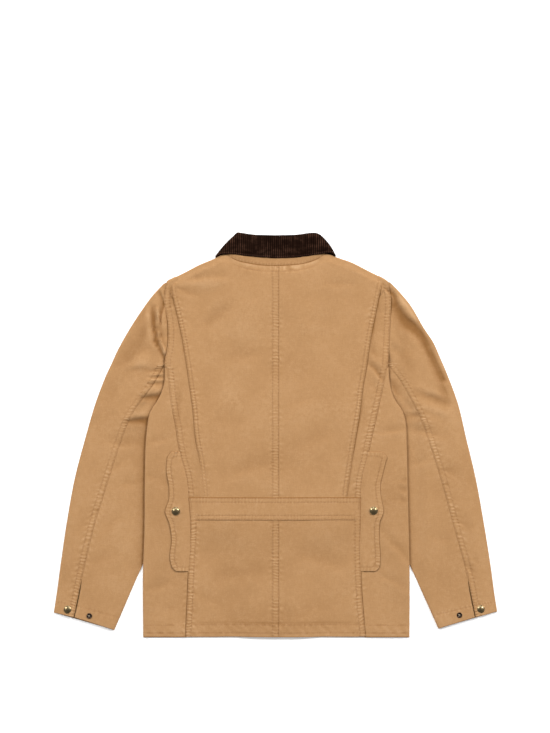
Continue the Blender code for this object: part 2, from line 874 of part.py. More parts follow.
def make_snaps(name, levels, finish, place):
    side = SIDES[name]
    spots = (
        (f"flap_snap_{name}", FLAP_SNAPS[name], levels["flap"], CAP_RADIUS, cap_profile, CAP_HEIGHT),
        (f"cuff_snap_{name}", CUFF_SNAPS[name], levels["sleeve"], CAP_RADIUS, cap_profile, CAP_HEIGHT),
        (f"cuff_stud_{name}", CUFF_STUDS[name], levels["sleeve"], STUD_RADIUS, stud_profile, STUD_HEIGHT),
    )
    for snap, (out, height), level, radius, profile, tall in spots:
        x = side * out
        z = highest(level, x, height, radius) + SNAP_GAP
        add_turned(snap, profile(radius, tall), finish, place, (x, height, z))


def make_front_snaps(finish, place):
    """Caps under the lapped fronts, face down."""
    profile = (
        (0, FRONT_CAP_HEIGHT),
        (0.95 * FRONT_CAP_RADIUS, FRONT_CAP_HEIGHT),
        (FRONT_CAP_RADIUS, FRONT_CAP_EDGE),
        (0.8 * FRONT_CAP_RADIUS, 0),
        (0, 0),
    )
    for number, height in enumerate(FRONT_SNAP_HEIGHTS, 1):
        rest = rest_level(0, height)
        add_turned(f"front_snap_{number}", profile, finish, place, (0, height, rest))


def main():
    for obj in list(bpy.data.objects):
        bpy.data.objects.remove(obj, do_unlink=True)
    collection = bpy.data.collections.new("field_jacket")
    bpy.context.scene.collection.children.link(collection)
    jacket = bpy.data.objects.new("jacket_lay", None)
    jacket.location = (0, -(BODY_HEM + COLLAR_TOP) / 2 * MM, 0)
    collection.objects.link(jacket)
    place = (collection, jacket)
    canvas = material("tan_canvas", TAN, 0.92)
    corduroy = material("brown_corduroy", BROWN, 0.95)
    brass = material("antique_brass", BRASS, 0.38, 1.0)
    for name in SIDES:
        make_front(name, canvas, place)
        make_side_panel(name, canvas, place)
        make_side_back(name, canvas, place)
        make_back(name, canvas, place)
        make_skirt(name, canvas, place)
        levels = {"sleeve": make_sleeve(name, canvas, place), "flap": make_flap(name, canvas, place)}
        make_snaps(name, levels, brass, place)
    make_belt(canvas, place)
    make_neck_band(canvas, place)
    make_collar(corduroy, place)
    make_front_snaps(brass, place)


main()
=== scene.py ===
import math
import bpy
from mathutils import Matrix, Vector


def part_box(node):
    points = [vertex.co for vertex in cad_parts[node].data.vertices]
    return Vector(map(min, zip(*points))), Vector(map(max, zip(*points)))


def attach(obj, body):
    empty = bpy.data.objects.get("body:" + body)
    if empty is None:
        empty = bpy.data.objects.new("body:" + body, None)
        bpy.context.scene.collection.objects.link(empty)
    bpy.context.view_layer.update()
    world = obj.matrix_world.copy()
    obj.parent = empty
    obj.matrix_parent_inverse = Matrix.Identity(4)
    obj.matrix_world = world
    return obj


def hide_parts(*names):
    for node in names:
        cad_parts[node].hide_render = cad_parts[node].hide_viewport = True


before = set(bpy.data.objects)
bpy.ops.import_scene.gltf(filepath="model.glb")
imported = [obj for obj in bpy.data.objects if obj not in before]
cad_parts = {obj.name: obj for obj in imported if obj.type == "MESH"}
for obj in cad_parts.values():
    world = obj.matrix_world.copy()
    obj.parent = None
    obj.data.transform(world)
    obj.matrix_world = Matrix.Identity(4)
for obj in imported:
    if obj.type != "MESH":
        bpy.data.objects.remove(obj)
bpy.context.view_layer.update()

from types import SimpleNamespace

import bpy
import numpy as np

# A canvas field jacket lying flat, back up. Sizes are in millimetres above the hem and out from the
# centre back, and placed() turns them into the frame's metres.

layout = {
    "middleHeight": 396.2,  # the frame's origin, above the hem
    "hem": 2.0,
    "waistJoin": 252.0,
    "underarm": 560.0,
    "panelTop": 543.0,
    "seamTop": 528.0,
    "alongStep": 1.7,
    "acrossStep": 4.0,
    "twoLayers": 3.6,
    "pleatLift": 1.7,
    "sideLevel": 3.5,
    "turn": 3.0,  # how far in a folded edge starts to turn
}

sides = {"left": -1, "right": 1}
made = []
stitchRows = []


def eased(share):
    share = np.clip(share, 0.0, 1.0)
    return share * share * (3 - 2 * share)


def mixed(a, b, share):
    return a + (b - a) * share


def smoothCurve(t, start, end, leaving, arriving):
    # from start to end as t goes from 0 to 1, with the slopes at both
    curve = (2 * t**3 - 3 * t**2 + 1) * start + (t**3 - 2 * t**2 + t) * leaving
    return curve + (3 * t**2 - 2 * t**3) * end + (t**3 - t**2) * arriving


def lineThrough(rows):
    # a smooth line through a table, read by side and by the first column
    table = np.array(sorted(rows), float)
    stops, values = table[:, 0], table[:, 1:]
    slopes = np.gradient(values, stops, axis=0)

    def read(side, at):
        side, at = np.broadcast_arrays(side, np.asarray(at, float))
        column = (side > 0).astype(int)
        row = np.clip(np.searchsorted(stops, at) - 1, 0, len(stops) - 2)
        span = stops[row + 1] - stops[row]
        t = np.clip((at - stops[row]) / span, 0, 1)
        leaving, arriving = slopes[row, column] * span, slopes[row + 1, column] * span
        return smoothCurve(t, values[row, column], values[row + 1, column], leaving, arriving)

    return read


# Outlines. Columns: height above the hem, distance out on the left, distance out on the right
sideEdge = lineThrough([
    (0, 258, 261), (133, 258, 261), (211, 255.5, 259.5), (314, 254.6, 257), (386, 252.5, 255.5),
    (411, 250, 254.5), (441, 244, 248), (468, 227, 231), (493, 217.5, 223), (528, 215.5, 220.5),
    (560, 215, 220),
])
armhole = lineThrough([
    (484, 211, 215), (503, 213, 217), (530, 216, 219), (545, 215, 220), (560, 211.5, 220.7),
    (577, 209.5, 221.5), (600, 209.3, 222.7), (624, 211.5, 224), (650, 216.5, 225.2),
    (664, 217.2, 224.9), (679, 215, 222.5), (700, 211.5, 219),
])
sideBackSeam = lineThrough([
    (0, 176, 176), (80, 172, 169), (133, 170, 166.5), (230, 166, 166), (275, 170, 167),
    (322, 176, 171.5), (347, 183, 178), (380, 190, 185), (415, 195, 193), (450, 202, 201),
    (497, 208, 211), (528, 211.5, 216.5), (560, 214, 219),
])
pleatEdge = lineThrough([
    (230, 136, 135), (285, 141, 140), (341, 147, 148), (390, 156, 156), (454, 162, 166),
    (488, 167, 170), (528, 172.5, 177), (591, 183, 186.5), (640, 194, 196.5), (663, 199.5, 201),
    (700, 205, 210),
])
sideSeam = lineThrough([
    (0, 200, 203), (314, 198, 201), (411, 196, 200), (468, 197, 201), (500, 200, 205),
    (528, 206, 211), (545, 210, 215), (577, 214, 218), (606, 217.5, 221.5), (660, 217, 224),
    (700, 211, 219),
])
tuckedEdge = lineThrough([
    (16, 314, 317), (60, 295, 296), (109, 274, 276), (181, 243, 245), (271, 214, 215),
    (351, 190, 192), (417, 182, 184), (468, 194, 198), (526, 212, 214),
])
flapEdge = lineThrough([
    (130, 193, 195), (138, 201, 202), (148, 204.5, 203.5), (197, 202.5, 202), (224, 207, 202.5),
    (248, 215, 210.5), (269, 208.5, 207), (298, 207.5, 204), (322, 212, 209.5), (343, 212, 214.5),
    (356, 209, 216), (364, 203, 206),
])

# Top outlines. Columns: distance out from the centre back, height on the left, height on the right
backTop = lineThrough([
    (0, 725, 725), (25, 726, 726), (52, 730, 729), (76, 736, 736), (90, 743, 743), (97, 748, 748.5),
    (104, 747, 748), (118, 740, 742.5), (147, 728, 732.5), (183, 709.5, 714.5), (204, 699.5, 704),
    (220, 691.5, 695),
])
frontTop = lineThrough([
    (0, 684, 684), (12, 688, 688), (25, 697, 697), (40, 713, 713), (55, 730, 730), (75, 742, 742),
    (97, 748, 748.5), (104, 747, 748), (118, 740, 742.5), (147, 728, 732.5), (183, 709.5, 714.5),
    (204, 699.5, 704), (220, 691.5, 695),
])
leafEdge = lineThrough([
    (0, 740, 740), (50, 743.5, 742.5), (84, 747.4, 747.4), (100, 748, 750), (111, 746, 748.5),
    (118, 742, 742.5),
])
leafTop = lineThrough([
    (0, 785, 785), (48, 787, 787), (66, 789.5, 789.5), (75, 790, 790), (84, 782, 788),
    (98, 768.5, 776), (110, 754.5, 760), (118, 744, 745),
])

# Sleeve stations from shoulder to cuff: outer fold, back seam and inner fold, each out and height
sleeveStations = {
    "left": [
        (219, 690, 212.5, 693.5, 212.5, 693.5),
        (241, 666, 217.8, 663, 218, 662),
        (264, 634, 212, 624, 218.8, 623),
        (284, 603, 209.8, 585, 217.6, 585),
        (305, 566, 215, 548, 215.5, 548),
        (319, 536, 219, 530, 206, 526),
        (334, 503, 241, 491, 194, 468),
        (352, 454, 279, 437, 182, 417),
        (370, 392, 302, 380, 190, 351),
        (391, 312, 329, 296, 214, 271),
        (407, 224, 353, 219, 243, 181),
        (419, 142, 373, 135, 274, 109),
        (426, 90, 383, 83, 295, 60),
        (432, 50, 392, 41, 314, 16),
    ],
    "right": [
        (225, 692, 219.5, 694.5, 219.5, 694.5),
        (243, 673, 226, 663, 225, 662),
        (264, 647, 225.2, 624, 222.8, 623),
        (288, 606, 222.8, 585, 221.4, 585),
        (307, 577, 221, 548, 220, 548),
        (321, 546, 222, 530, 208, 526),
        (339, 503, 245, 499, 198, 468),
        (357, 452, 279, 435, 184, 417),
        (371, 392, 299, 382, 192, 351),
        (390, 312, 325, 300, 215, 271),
        (406, 224, 346, 222, 245, 181),
        (419, 142, 370, 135, 276, 111),
        (426, 90, 380, 84, 296, 66),
        (432, 52, 389, 41, 317, 19),
    ],
}

noiseTable = np.random.default_rng(7).uniform(-1, 1, (256, 256))


def softNoise(x, y, cell, draw=0):
    # smooth uneven waves between -1 and 1, about one cell across
    u = np.asarray(x) / cell + 13.7 * draw
    v = np.asarray(y) / cell + 29.3 * draw
    u, v = np.broadcast_arrays(u, v)
    i, j = np.floor(u).astype(int), np.floor(v).astype(int)
    fu, fv = eased(u - i), eased(v - j)
    low = mixed(noiseTable[i % 256, j % 256], noiseTable[(i + 1) % 256, j % 256], fu)
    high = mixed(noiseTable[i % 256, (j + 1) % 256], noiseTable[(i + 1) % 256, (j + 1) % 256], fu)
    return mixed(low, high, fv)


def sideOf(x):
    return np.where(np.asarray(x) < 0, -1, 1)


# Creases of the laid cloth. Columns: from out, from height, to out, to height, half width, rise. A
# crease is crisper on one side, the other one where its half width is negative
sleeveCreases = {
    "left": [
        (239, 642, 237, 602, -6.5, -3.8),
        (237, 602, 233, 577, -7.5, -3.8),
        (233, 577, 224, 561, -4.5, -3.0),
        (224, 561, 217, 545, 3.4, -2.6),
        (229, 642, 229, 600, 3.0, 2.7),
        (229, 600, 224, 581, 3.0, 3.4),
        (224, 581, 214, 557, 3.4, 2.1),
        (228, 679, 218, 653, 3.4, -2.2),
        (218, 653, 222, 634, 3.4, -2.8),
        (222, 634, 224.5, 606, 2.7, -1.8),
        (262, 560, 300, 540, 18, -1.3),
        (243, 528, 288, 518, -9, -1.3),
        (212, 526, 240, 521, -6, -1.3),
        (214, 510, 243, 508.5, -3.8, -1.5),
        (218, 504, 246, 502, 3, 0.7),
        (216, 498, 248, 495, -4.6, -1.5),
        (220, 486, 254, 483, 7, 0.7),
        (222, 474, 258, 468, -7, -3.6),
        (236, 462, 262, 459, 6, 0.6),
        (246, 426, 288, 421, -6.5, -3.4),
        (250, 440, 280, 436, 8, 0.8),
        (262, 380, 316, 384, 12, -0.9),
        (250, 612, 262, 574, 9, -0.9),
        (248, 650, 264, 622, 9, -0.7),
        (300, 500, 324, 466, 11, -0.8),
        (286, 350, 318, 330, 11, -0.8),
        (262, 306, 300, 300, 9, -0.7),
        (352, 250, 382, 210, 10, -0.7),
        (300, 240, 332, 212, 10, -0.7),
        (318, 160, 352, 150, 9, -0.6),
        (372, 146, 384, 128, 5, -0.8),
    ],
    "right": [
        (228, 668, 238, 645, -10, -2.6),
        (238, 645, 256, 620, -12, -3.4),
        (256, 620, 276, 601, -10, -4.4),
        (276, 603, 295, 573, -6.5, -7.0),
        (295, 573, 311, 540, -6.5, -6.4),
        (311, 540, 325, 506, -7.5, -4.2),
        (325, 506, 337, 462, -9, -2.0),
        (256, 648, 290, 604, 6, 1.0),
        (292, 604, 310, 574, 5, 1.8),
        (310, 574, 334, 515, 5, 1.8),
        (223, 677, 233, 663, 4, -2.4),
        (276, 482, 334, 456, -9, -1.9),
        (290, 456, 330, 436, 10, 0.8),
        (226, 497, 236, 474, 6, -2.2),
        (248, 434, 280, 432, -7, -1.3),
        (236, 560, 262, 528, 10, -1.0),
        (240, 600, 256, 566, 12, -0.8),
        (264, 408, 330, 392, 11, -0.9),
        (320, 330, 352, 316, 11, -0.8),
        (262, 340, 300, 346, 10, -0.7),
        (350, 236, 378, 214, 9, -0.7),
        (300, 200, 334, 190, 9, -0.6),
        (370, 146, 385, 127, 6, -1.0),
        (386, 160, 402, 140, 5, -0.6),
    ],
}
bodyCreases = {
    "left": [
        (102, 704, 182, 702, 9, -1.0),
        (100, 690, 170, 686, 12, 0.5),
        (128, 616, 84, 653, 13, -0.9),
        (150, 668, 196, 680, 7, -0.6),
        (187, 468, 190, 420, 6, -1.2),
        (198, 500, 200, 450, 8, 0.7),
        (206, 690, 202, 660, 3.5, -2.4),
        (194, 683, 170, 680, 3.5, -0.8),
        (30, 560, 84, 548, 16, -0.5),
        (60, 420, 120, 440, 18, -0.55),
        (24, 340, 96, 316, 14, -0.5),
        (40, 130, 110, 118, 16, -0.55),
        (96, 60, 150, 84, 14, -0.55),
        (210, 392, 248, 380, 8, -0.8),
        (206, 300, 250, 320, 10, -0.6),
        (210, 110, 252, 92, 10, -0.7),
        (196, 60, 240, 46, 9, -0.5),
        (196, 664, 208, 640, 5, -0.7),
    ],
    "right": [
        (184, 572, 195, 543, 4.5, -1.3),
        (179, 539, 196, 521, 4.5, -1.8),
        (196, 521, 207, 504, 4.5, -1.6),
        (190, 548, 206, 528, 6, 0.8),
        (168, 462, 172, 420, 6, -1.1),
        (186, 500, 206, 470, 8, -0.7),
        (204, 214, 258, 157, 8, -1.2),
        (246, 308, 260, 306, 6, -1.0),
        (244, 290, 260, 288, 6, -1.0),
        (236, 270, 258, 262, 6, -0.7),
        (50, 624, 126, 614, 15, -0.5),
        (212, 684, 222, 672, 3.5, -2.2),
        (96, 690, 150, 690, 10, -0.6),
        (50, 380, 120, 402, 18, -0.55),
        (30, 460, 90, 470, 14, -0.45),
        (60, 160, 128, 142, 16, -0.55),
        (30, 50, 96, 66, 14, -0.5),
        (204, 402, 250, 410, 8, -0.9),
        (210, 120, 256, 96, 9, -0.7),
        (176, 640, 204, 636, 6, -0.6),
    ],
}
frontCreases = {
    "left": [(60, 560, 150, 590, 16, 0.8), (80, 300, 160, 260, 18, 0.7), (60, 120, 150, 140, 14, 0.6)],
    "right": [(70, 520, 160, 500, 16, 0.8), (60, 330, 150, 360, 18, 0.7), (80, 90, 170, 130, 14, 0.6)],
}

# Paler and darker patches. Columns: out (left is negative), height, half width, half height, how much paler
tonePatchRows = [
    (87, 616, 44, 50, 0.17),
    (-89, 462, 36, 30, 0.14),
    (264, 413, 26, 24, 0.24),
    (318, 538, 16, 30, 0.24),
    (-190, 20, 16, 20, 0.2),
    (-147, 100, 34, 44, -0.14),
    (126, 84, 34, 26, -0.15),
    (208, 270, 24, 34, -0.2),
    (-342, 413, 30, 40, -0.14),
    (-264, 616, 16, 26, -0.14),
]


def tonePatches(x, y):
    total = 0 * x
    for out, height, wide, tall, paler in tonePatchRows:
        total = total + paler * np.exp(-(((x - out) / wide) ** 2 + ((y - height) / tall) ** 2))
    return total


def hump(distance, half):
    # 1 at no distance, dying away on both sides
    return np.exp(-((distance / half) ** 2))


def creased(rows, out, height, draw=0):
    # soft troughs and ridges that waver, fade at their ends and push up the cloth beside them
    total = np.zeros(np.shape(out))
    for number, (outA, heightA, outB, heightB, half, rise) in enumerate(rows):
        run = np.array((outB - outA, heightB - heightA), float)
        length = math.hypot(*run)
        share = np.clip(((out - outA) * run[0] + (height - heightA) * run[1]) / length**2, 0, 1)
        dOut, dHeight = out - outA - run[0] * share, height - heightA - run[1] * share
        across = (dOut * run[1] - dHeight * run[0]) / length
        beyond = np.sqrt(np.maximum(dOut**2 + dHeight**2 - across**2, 0))
        crisp, half = np.sign(half), abs(half)
        waver = 0.28 * half * softNoise(share * length, number * 50.0, 24, draw + 3)
        unevenness = 1 + 0.3 * softNoise(share * length, number * 70.0, 30, draw + 5)
        fade = 0.55 + 0.45 * np.sin(math.pi * share)
        aside = crisp * (across - waver)
        distance = np.sqrt((aside / np.where(aside > 0, 0.62, 1.3)) ** 2 + beyond**2)
        pushed = -0.3 * np.exp(-(((aside - 1.3 * half) ** 2 + beyond**2) / (0.8 * half) ** 2))
        total += rise * fade * unevenness * (hump(distance, half) + pushed)
    return total


# How the layers lie on each other
laid = {
    "tuckRise": 3.8,
    "tuckFade": 70.0,
    "tuckFullBefore": 10.0,
    "tuckStarts": 630.0,
    "tuckFull": 530.0,
    "pressedSleeve": 3.2,
    "sleeveLoft": 3.4,
    "lap": 22.0,
    "lapGap": 0.9,
    "canvasWall": 1.4,
    "flyLift": 3.7,
    "flyRise": 1.6,
    "collarRise": 2.2,
    "leafTopLevel": 9.4,
    "bandLevel": 7.9,
    "neckHold": 0.66,
    "standLevel": 4.0,
    "neckReach": 98.0,
    "neckFade": 16.0,
    "flyReach": 94.0,  # the fronts lap from the centre out to here
    "flyFade": 64.0,
    "lapReach": 50.0,
    "lapFade": 21.0,
    "beltDrop": 1.8,
    "beltCover": 1.3,  # the skirt comes up under the belt
    "beltFrom": 160.0,
    "beltFade": 66.0,
    "collarReach": 80.0,
    "collarFade": 75.0,
    "waves": ((0.5, 95.0), (0.24, 36.0), (0.075, 13.0)),  # soft unevenness: height and cell
}
collarCorners = {"neckStart": (64, 772), "edgeStart": (110, 736), "point": (56, 649), "neckEnd": (9, 688)}


def beyondLine(out, height, start, end):
    # how far a place lies to one side of the line from start to end
    run = (end[0] - start[0], end[1] - start[1])
    return (run[0] * (height - start[1]) - run[1] * (out - start[0])) / math.hypot(*run)


def collarFrontShare(x, y):
    pastEdge = beyondLine(np.abs(x), y, collarCorners["point"], collarCorners["edgeStart"])
    pastPoint = beyondLine(np.abs(x), y, collarCorners["neckEnd"], collarCorners["point"])
    return eased((np.minimum(pastEdge, pastPoint) + laid["collarReach"]) / laid["collarFade"])


def restLevel(x, y):
    # what the fronts lie on: the surface, the tucked sleeves and the collar's front ends
    fade = laid["tuckFade"]
    over = (np.abs(x) - tuckedEdge(sideOf(x), y) + fade) / (fade - laid["tuckFullBefore"])
    start = (laid["tuckStarts"] - y) / (laid["tuckStarts"] - laid["tuckFull"])
    return laid["tuckRise"] * eased(over) * eased(start) + laid["collarRise"] * collarFrontShare(x, y)


def overFly(x):
    return eased((laid["flyReach"] - np.abs(x)) / laid["flyFade"])


def belowTop(x, y):
    return eased((backTop(sideOf(x), np.abs(x)) - layout["turn"] - y) / 14)


def crumple(x, y, draw=0):
    total = 0
    for number, (height, cell) in enumerate(laid["waves"]):
        total = total + height * softNoise(x, y, cell, draw + number)
    return total


def bodyFolds(x, y):
    inside = eased((backTop(sideOf(x), np.abs(x)) - y - 8) / 14)
    left = creased(bodyCreases["left"], np.abs(x), y, 1)
    right = creased(bodyCreases["right"], np.abs(x), y, 2)
    return np.where(np.asarray(x) < 0, left, right) * inside


def centerLevel(x, y):
    lift = mixed(layout["pleatLift"], laid["flyLift"], overFly(x))
    neck = laid["neckHold"] * eased((laid["neckReach"] - np.abs(x)) / laid["neckFade"])
    return restLevel(x, y) + layout["twoLayers"] + lift * mixed(belowTop(x, y), 1, neck)


def sideLevel(x, y):
    return restLevel(x, y) + layout["sideLevel"]


def beltDip(x):
    # past the pleats the belt comes down to the side backs
    return laid["beltDrop"] * eased((np.abs(x) - pleatEdge(sideOf(x), 275.0) - 3) / 14)


def skirtLevel(x, y):
    plain = restLevel(x, y) + layout["twoLayers"] + laid["flyLift"] * overFly(x)
    underBelt = centerLevel(x, y) - beltDip(x) + laid["beltCover"]
    atBelt = eased((y - laid["beltFrom"]) / laid["beltFade"])
    return mixed(plain, np.maximum(plain, underBelt), atBelt)


def frontLevel(name, x, y):
    rise = laid["flyRise"] + (0 if name == "left" else laid["canvasWall"] + laid["lapGap"])
    return restLevel(x, y) + rise * eased((laid["lapReach"] - np.abs(x)) / laid["lapFade"])


# Seams: a lapped band with its folded edge, two stitched rows and the puckers that washing leaves
seam = {
    "bandWidth": 11.5,
    "bandRise": 0.55,
    "rowsIn": (1.9, 10.6),
    "foldRadius": 1.5,
    "foldDrop": 0.6,
    "grooveDepth": 0.26,
    "grooveHalf": 0.9,
    "puckerPitch": 6.2,
    "puckerDepth": 0.3,
    "beadPitch": 6.4,
    "beadDepth": 0.24,
    "puckerReach": 26.0,
    "tuckUnder": 3.0,
    "underDrop": 1.15,
}


def groove(distance, at):
    return -seam["grooveDepth"] * hump(distance - at, seam["grooveHalf"])


def rolled(distance, radius, drop):
    # a folded edge turning down, by how far in the point is
    out = np.clip(1 - distance / radius, 0, 1)
    return -drop * (1 - np.sqrt(1 - out**2))


def puckered(distance, along, draw, width=None, strength=1.0):
    # the ladder of small rolls between the stitched rows, dying away in the cloth beside them
    width = seam["bandWidth"] if width is None else width
    pitch, reach, flat = seam["puckerPitch"], seam["puckerReach"], 0 * distance
    wander = 3.4 * softNoise(along, flat, 21, draw) + 1.3 * softNoise(along, distance, 7, draw + 1)
    slant = 0.2 * softNoise(along, flat, 40, draw + 4)
    wave = np.sin(2 * math.pi * (along + wander + slant * distance) / pitch)
    longWave = np.sin(math.pi * (along + 1.5 * wander + 0.3 * distance) / pitch)
    uneven = 0.52 + 0.42 * softNoise(along, flat, 31, draw + 2)
    uneven = uneven + 0.4 * softNoise(along, distance, 8, draw + 3)
    inBand = eased((distance + 0.5) / 1.5) * eased((width + 1 - distance) / 2.5)
    beside = eased((distance - width + 2) / 4) * eased((reach - distance) / (reach - width))
    depth = strength * seam["puckerDepth"] * np.maximum(uneven, 0.05)
    return depth * (inBand * wave + 0.6 * beside**1.5 * longWave)


def beaded(distance, along, at, draw):
    # the cloth swells between the stitches of a row, and sinks at them
    wander = 2.0 * softNoise(along, 0 * distance, 12, draw)
    bead = np.sin(2 * math.pi * (along + wander) / seam["beadPitch"])
    uneven = 0.5 + 0.5 * softNoise(along, 0 * distance, 16, draw + 1)
    return seam["beadDepth"] * bead * uneven * hump(distance - at, 2.0)


def both(height, fine=None):
    # a height and the part of it that also sets the colour, paler or darker, as wear and as painted highlight
    # and shade, stacked so that seams can be added up
    return np.stack([height, height if fine is None else fine])


def lapped(distance, along, draw, rows=None, width=None, strength=1.0, drop=1.0):
    # a lapped seam by the distance in from its folded edge
    width = seam["bandWidth"] if width is None else width
    raised = seam["bandRise"] * eased((width + 2 - distance) / 3) * (0.15 + 0.85 * drop)
    fine = rolled(distance, seam["foldRadius"], seam["foldDrop"]) * drop
    for number, row in enumerate(seam["rowsIn"] if rows is None else rows):
        fine = fine + groove(distance, row) * (0.8 + 0.2 * drop)
        fine = fine + beaded(distance, along, row, draw + 7 * number)
    fine = fine + puckered(distance, along, draw, width, strength)
    return both(raised + fine, fine)


def tuckedUnder(distance, share=1.0):
    # the cloth that goes under a lapped seam, by the distance out from the seam line
    drop = -seam["underDrop"] * share * eased((1.2 - distance) / 2.2)
    hidden = -seam["underDrop"] * (1 - share) * eased((0.1 - distance) / 0.8)
    return both(drop + hidden, 0.45 * drop)


def seamShare(side, y):
    # the side seams lie softer below the underarm, and the right armhole above it
    soft = 0.5 * eased((y - 285) / 40) + 0.4 * eased((y - 430) / 40)
    if side < 0:
        above = 0.6 - 0.35 * eased((y - 645) / 16) - 0.4 * eased((y - 546) / 10) * eased((584 - y) / 10)
    else:
        above = 0.02 + 0.7 * eased((560 - y) / 26) + 0.35 * eased((y - 622) / 12)
    return mixed(1 - soft, above, eased((y - 520) / 20))


def besideSeam(distance, along, draw):
    # the cloth next to a lapped seam, which its stitches gather
    fine = puckered(distance + seam["bandWidth"] + 1, along, draw) * eased(distance / 3)
    return both(fine)


def wearAndShading(seams, relief=0):
    # high spots of the seams are paler, partly rubbed and partly a painted highlight, and low ones and the
    # troughs of folds are darker, partly less worn and partly painted shade
    return np.clip(np.where(seams[1] > 0, 3.0, 1.7) * seams[1] + 0.28 * relief, -1, 1)


# Grids


def spread(nearEdge, farEdge, length, step):
    # lines at set distances from each edge and even steps between, as (fixed, share of the width)
    count = max(2, round((length - nearEdge[-1] - farEdge[-1]) / step))
    lines = [(d, 0.0) for d in nearEdge]
    lines += [(mixed(nearEdge[-1], -farEdge[-1], t), t) for t in np.linspace(0, 1, count + 1)[1:-1]]
    lines += [(-d, 1.0) for d in reversed(farEdge)]
    return np.array(lines)


# Lines that a grid keeps beside a lapped seam, a shoulder, a free edge and a seam that goes under
bandLines = [0, 0.5, 1.1, 1.9, 2.9, 4.4, 6.0, 7.6, 9.2, 10.6, 11.8, 13.4, 16, 19]
topLines = [0, 0.35, 0.9, 1.8, 3.0, 4.5]
edgeLines = [0, 0.5, 1.2, 2.2, 3.6]
tuckedLines = [0, 2.0, 3.2, 4.2, 5.5, 7.5, 10, 13]


def panelGrid(side, inner, outer, low, high, across, along):
    # x, y and the distances in from each edge, for a panel between two seam lines
    shape = (len(along), len(across))
    y = np.full(shape, 400.0)  # a first guess, which each round brings closer
    for _ in range(6):
        width = side * (outer(y) - inner(y))
        fromInner = across[:, 0][None, :] + across[:, 1][None, :] * width
        x = inner(y) + side * fromInner
        bottom, top = low(x), high(x)
        y = bottom + along[:, 0][:, None] + along[:, 1][:, None] * (top - bottom)
    return x, y, fromInner, width - fromInner, y - bottom, top - y


def placed(places):
    # out and above the hem in millimetres, into the frame's metres
    return (np.asarray(places, float) - (0, layout["middleHeight"], 0)) * 0.001


def clearSelection():
    if bpy.context.object and bpy.context.object.mode != "OBJECT":
        bpy.ops.object.mode_set(mode="OBJECT")
    bpy.ops.object.select_all(action="DESELECT")


def sewSheet(node, x, y, z, rubAndShade=None, cloth="canvas", faceUp=True):
    # a grid shaped into a panel, with its thickness, riding on the frame in place of its solid
    places = np.stack([x, y, z], axis=2)
    rows, columns = places.shape[:2]
    clearSelection()
    bpy.ops.mesh.primitive_grid_add(x_subdivisions=columns - 1, y_subdivisions=rows - 1, size=1)
    piece = bpy.context.active_object
    piece.name = node + "_cloth"
    mesh = piece.data
    mesh.vertices.foreach_set("co", placed(places).ravel())
    mesh.update()
    middle = (rows // 2) * (columns - 1)
    if (sum(mesh.polygons[middle + k].normal.z for k in range(4)) > 0) != faceUp:
        mesh.flip_normals()
    grain = mesh.attributes.new("clothPlace", "FLOAT_VECTOR", "POINT")
    grain.data.foreach_set("vector", (places * 0.001).ravel())
    # the rubbed value also carries painted highlights and painted shade
    rubbedAndShaded = mesh.attributes.new("rubbedAndShaded", "FLOAT", "POINT")
    rubbedAndShaded.data.foreach_set("value", (np.zeros((rows, columns)) if rubAndShade is None else rubAndShade).ravel())
    mesh.materials.append(cloths[cloth]["finish"])
    thickness = piece.modifiers.new("Thickness", "SOLIDIFY")
    thickness.thickness = cloths[cloth]["wall"] * 0.001
    thickness.offset = -1
    bpy.ops.object.modifier_apply(modifier="Thickness")
    # nothing sinks into the surface that the jacket lies on
    corners = np.empty(len(mesh.vertices) * 3)
    mesh.vertices.foreach_get("co", corners)
    corners[2::3] = np.maximum(corners[2::3], 0)
    mesh.vertices.foreach_set("co", corners)
    bpy.ops.object.shade_smooth_by_angle(angle=math.radians(50))
    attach(piece, "root")
    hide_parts(node)
    made.append(piece)
    return places


def rowAt(places, gauge, distance):
    # the line across a sheet's rows where the gauge reads a distance
    line = []
    for row in range(places.shape[0]):
        order = np.argsort(gauge[row])
        line.append([np.interp(distance, gauge[row][order], places[row, order, k]) for k in range(3)])
    return np.array(line)


def stitchAt(places, gauge, distances, keep=None, up=1):
    # stitched rows across the sheet's own rows, only where keep says so
    for distance in distances:
        line = rowAt(places, gauge, distance)
        if keep is not None:
            line = line[keep(line)]
        if len(line) > 3:
            stitchRows.append((line, up))


def stitchAlong(places, gauge, distances, keep=None, up=1):
    stitchAt(places.transpose(1, 0, 2), gauge.T, distances, keep, up)


# Materials


class Signal:
    # a shader node's output, which adds, subtracts and multiplies like a number
    def __init__(self, tree, socket):
        self.tree = tree
        self.socket = socket

    def math(self, kind, other=None):
        node = self.tree.nodes.new("ShaderNodeMath")
        node.operation = kind
        feed(node.inputs[0], self)
        if other is not None:
            feed(node.inputs[1], other)
        return Signal(self.tree, node.outputs[0])

    def __add__(self, other):
        return self.math("ADD", other)

    def __sub__(self, other):
        return self.math("SUBTRACT", other)

    def __mul__(self, other):
        return self.math("MULTIPLY", other)

    def clamped(self):
        self.socket.node.use_clamp = True
        return self


def feed(socket, value):
    # a socket takes a signal, or a plain number or colour
    if isinstance(value, Signal):
        value.tree.links.new(value.socket, socket)
    else:
        socket.default_value = value


def addNode(tree, kind, output=0, **values):
    # a node with some of its sockets fed, and its output as a signal
    node = tree.nodes.new(kind)
    for label, value in values.items():
        feed(node.inputs[label.replace("_", " ")], value)
    return Signal(tree, node.outputs[output])


def noiseNode(tree, place, scale, detail=3.0, roughness=0.55, stretch=None):
    if stretch:
        place = addNode(tree, "ShaderNodeMapping", Vector=place, Scale=stretch)
    return addNode(
        tree, "ShaderNodeTexNoise", "Fac", Vector=place, Scale=scale, Detail=detail, Roughness=roughness
    )


def rampNode(tree, value, low, high):
    result = addNode(tree, "ShaderNodeMapRange", Value=value, From_Min=low, From_Max=high)
    result.socket.node.interpolation_type = "SMOOTHSTEP"
    return result


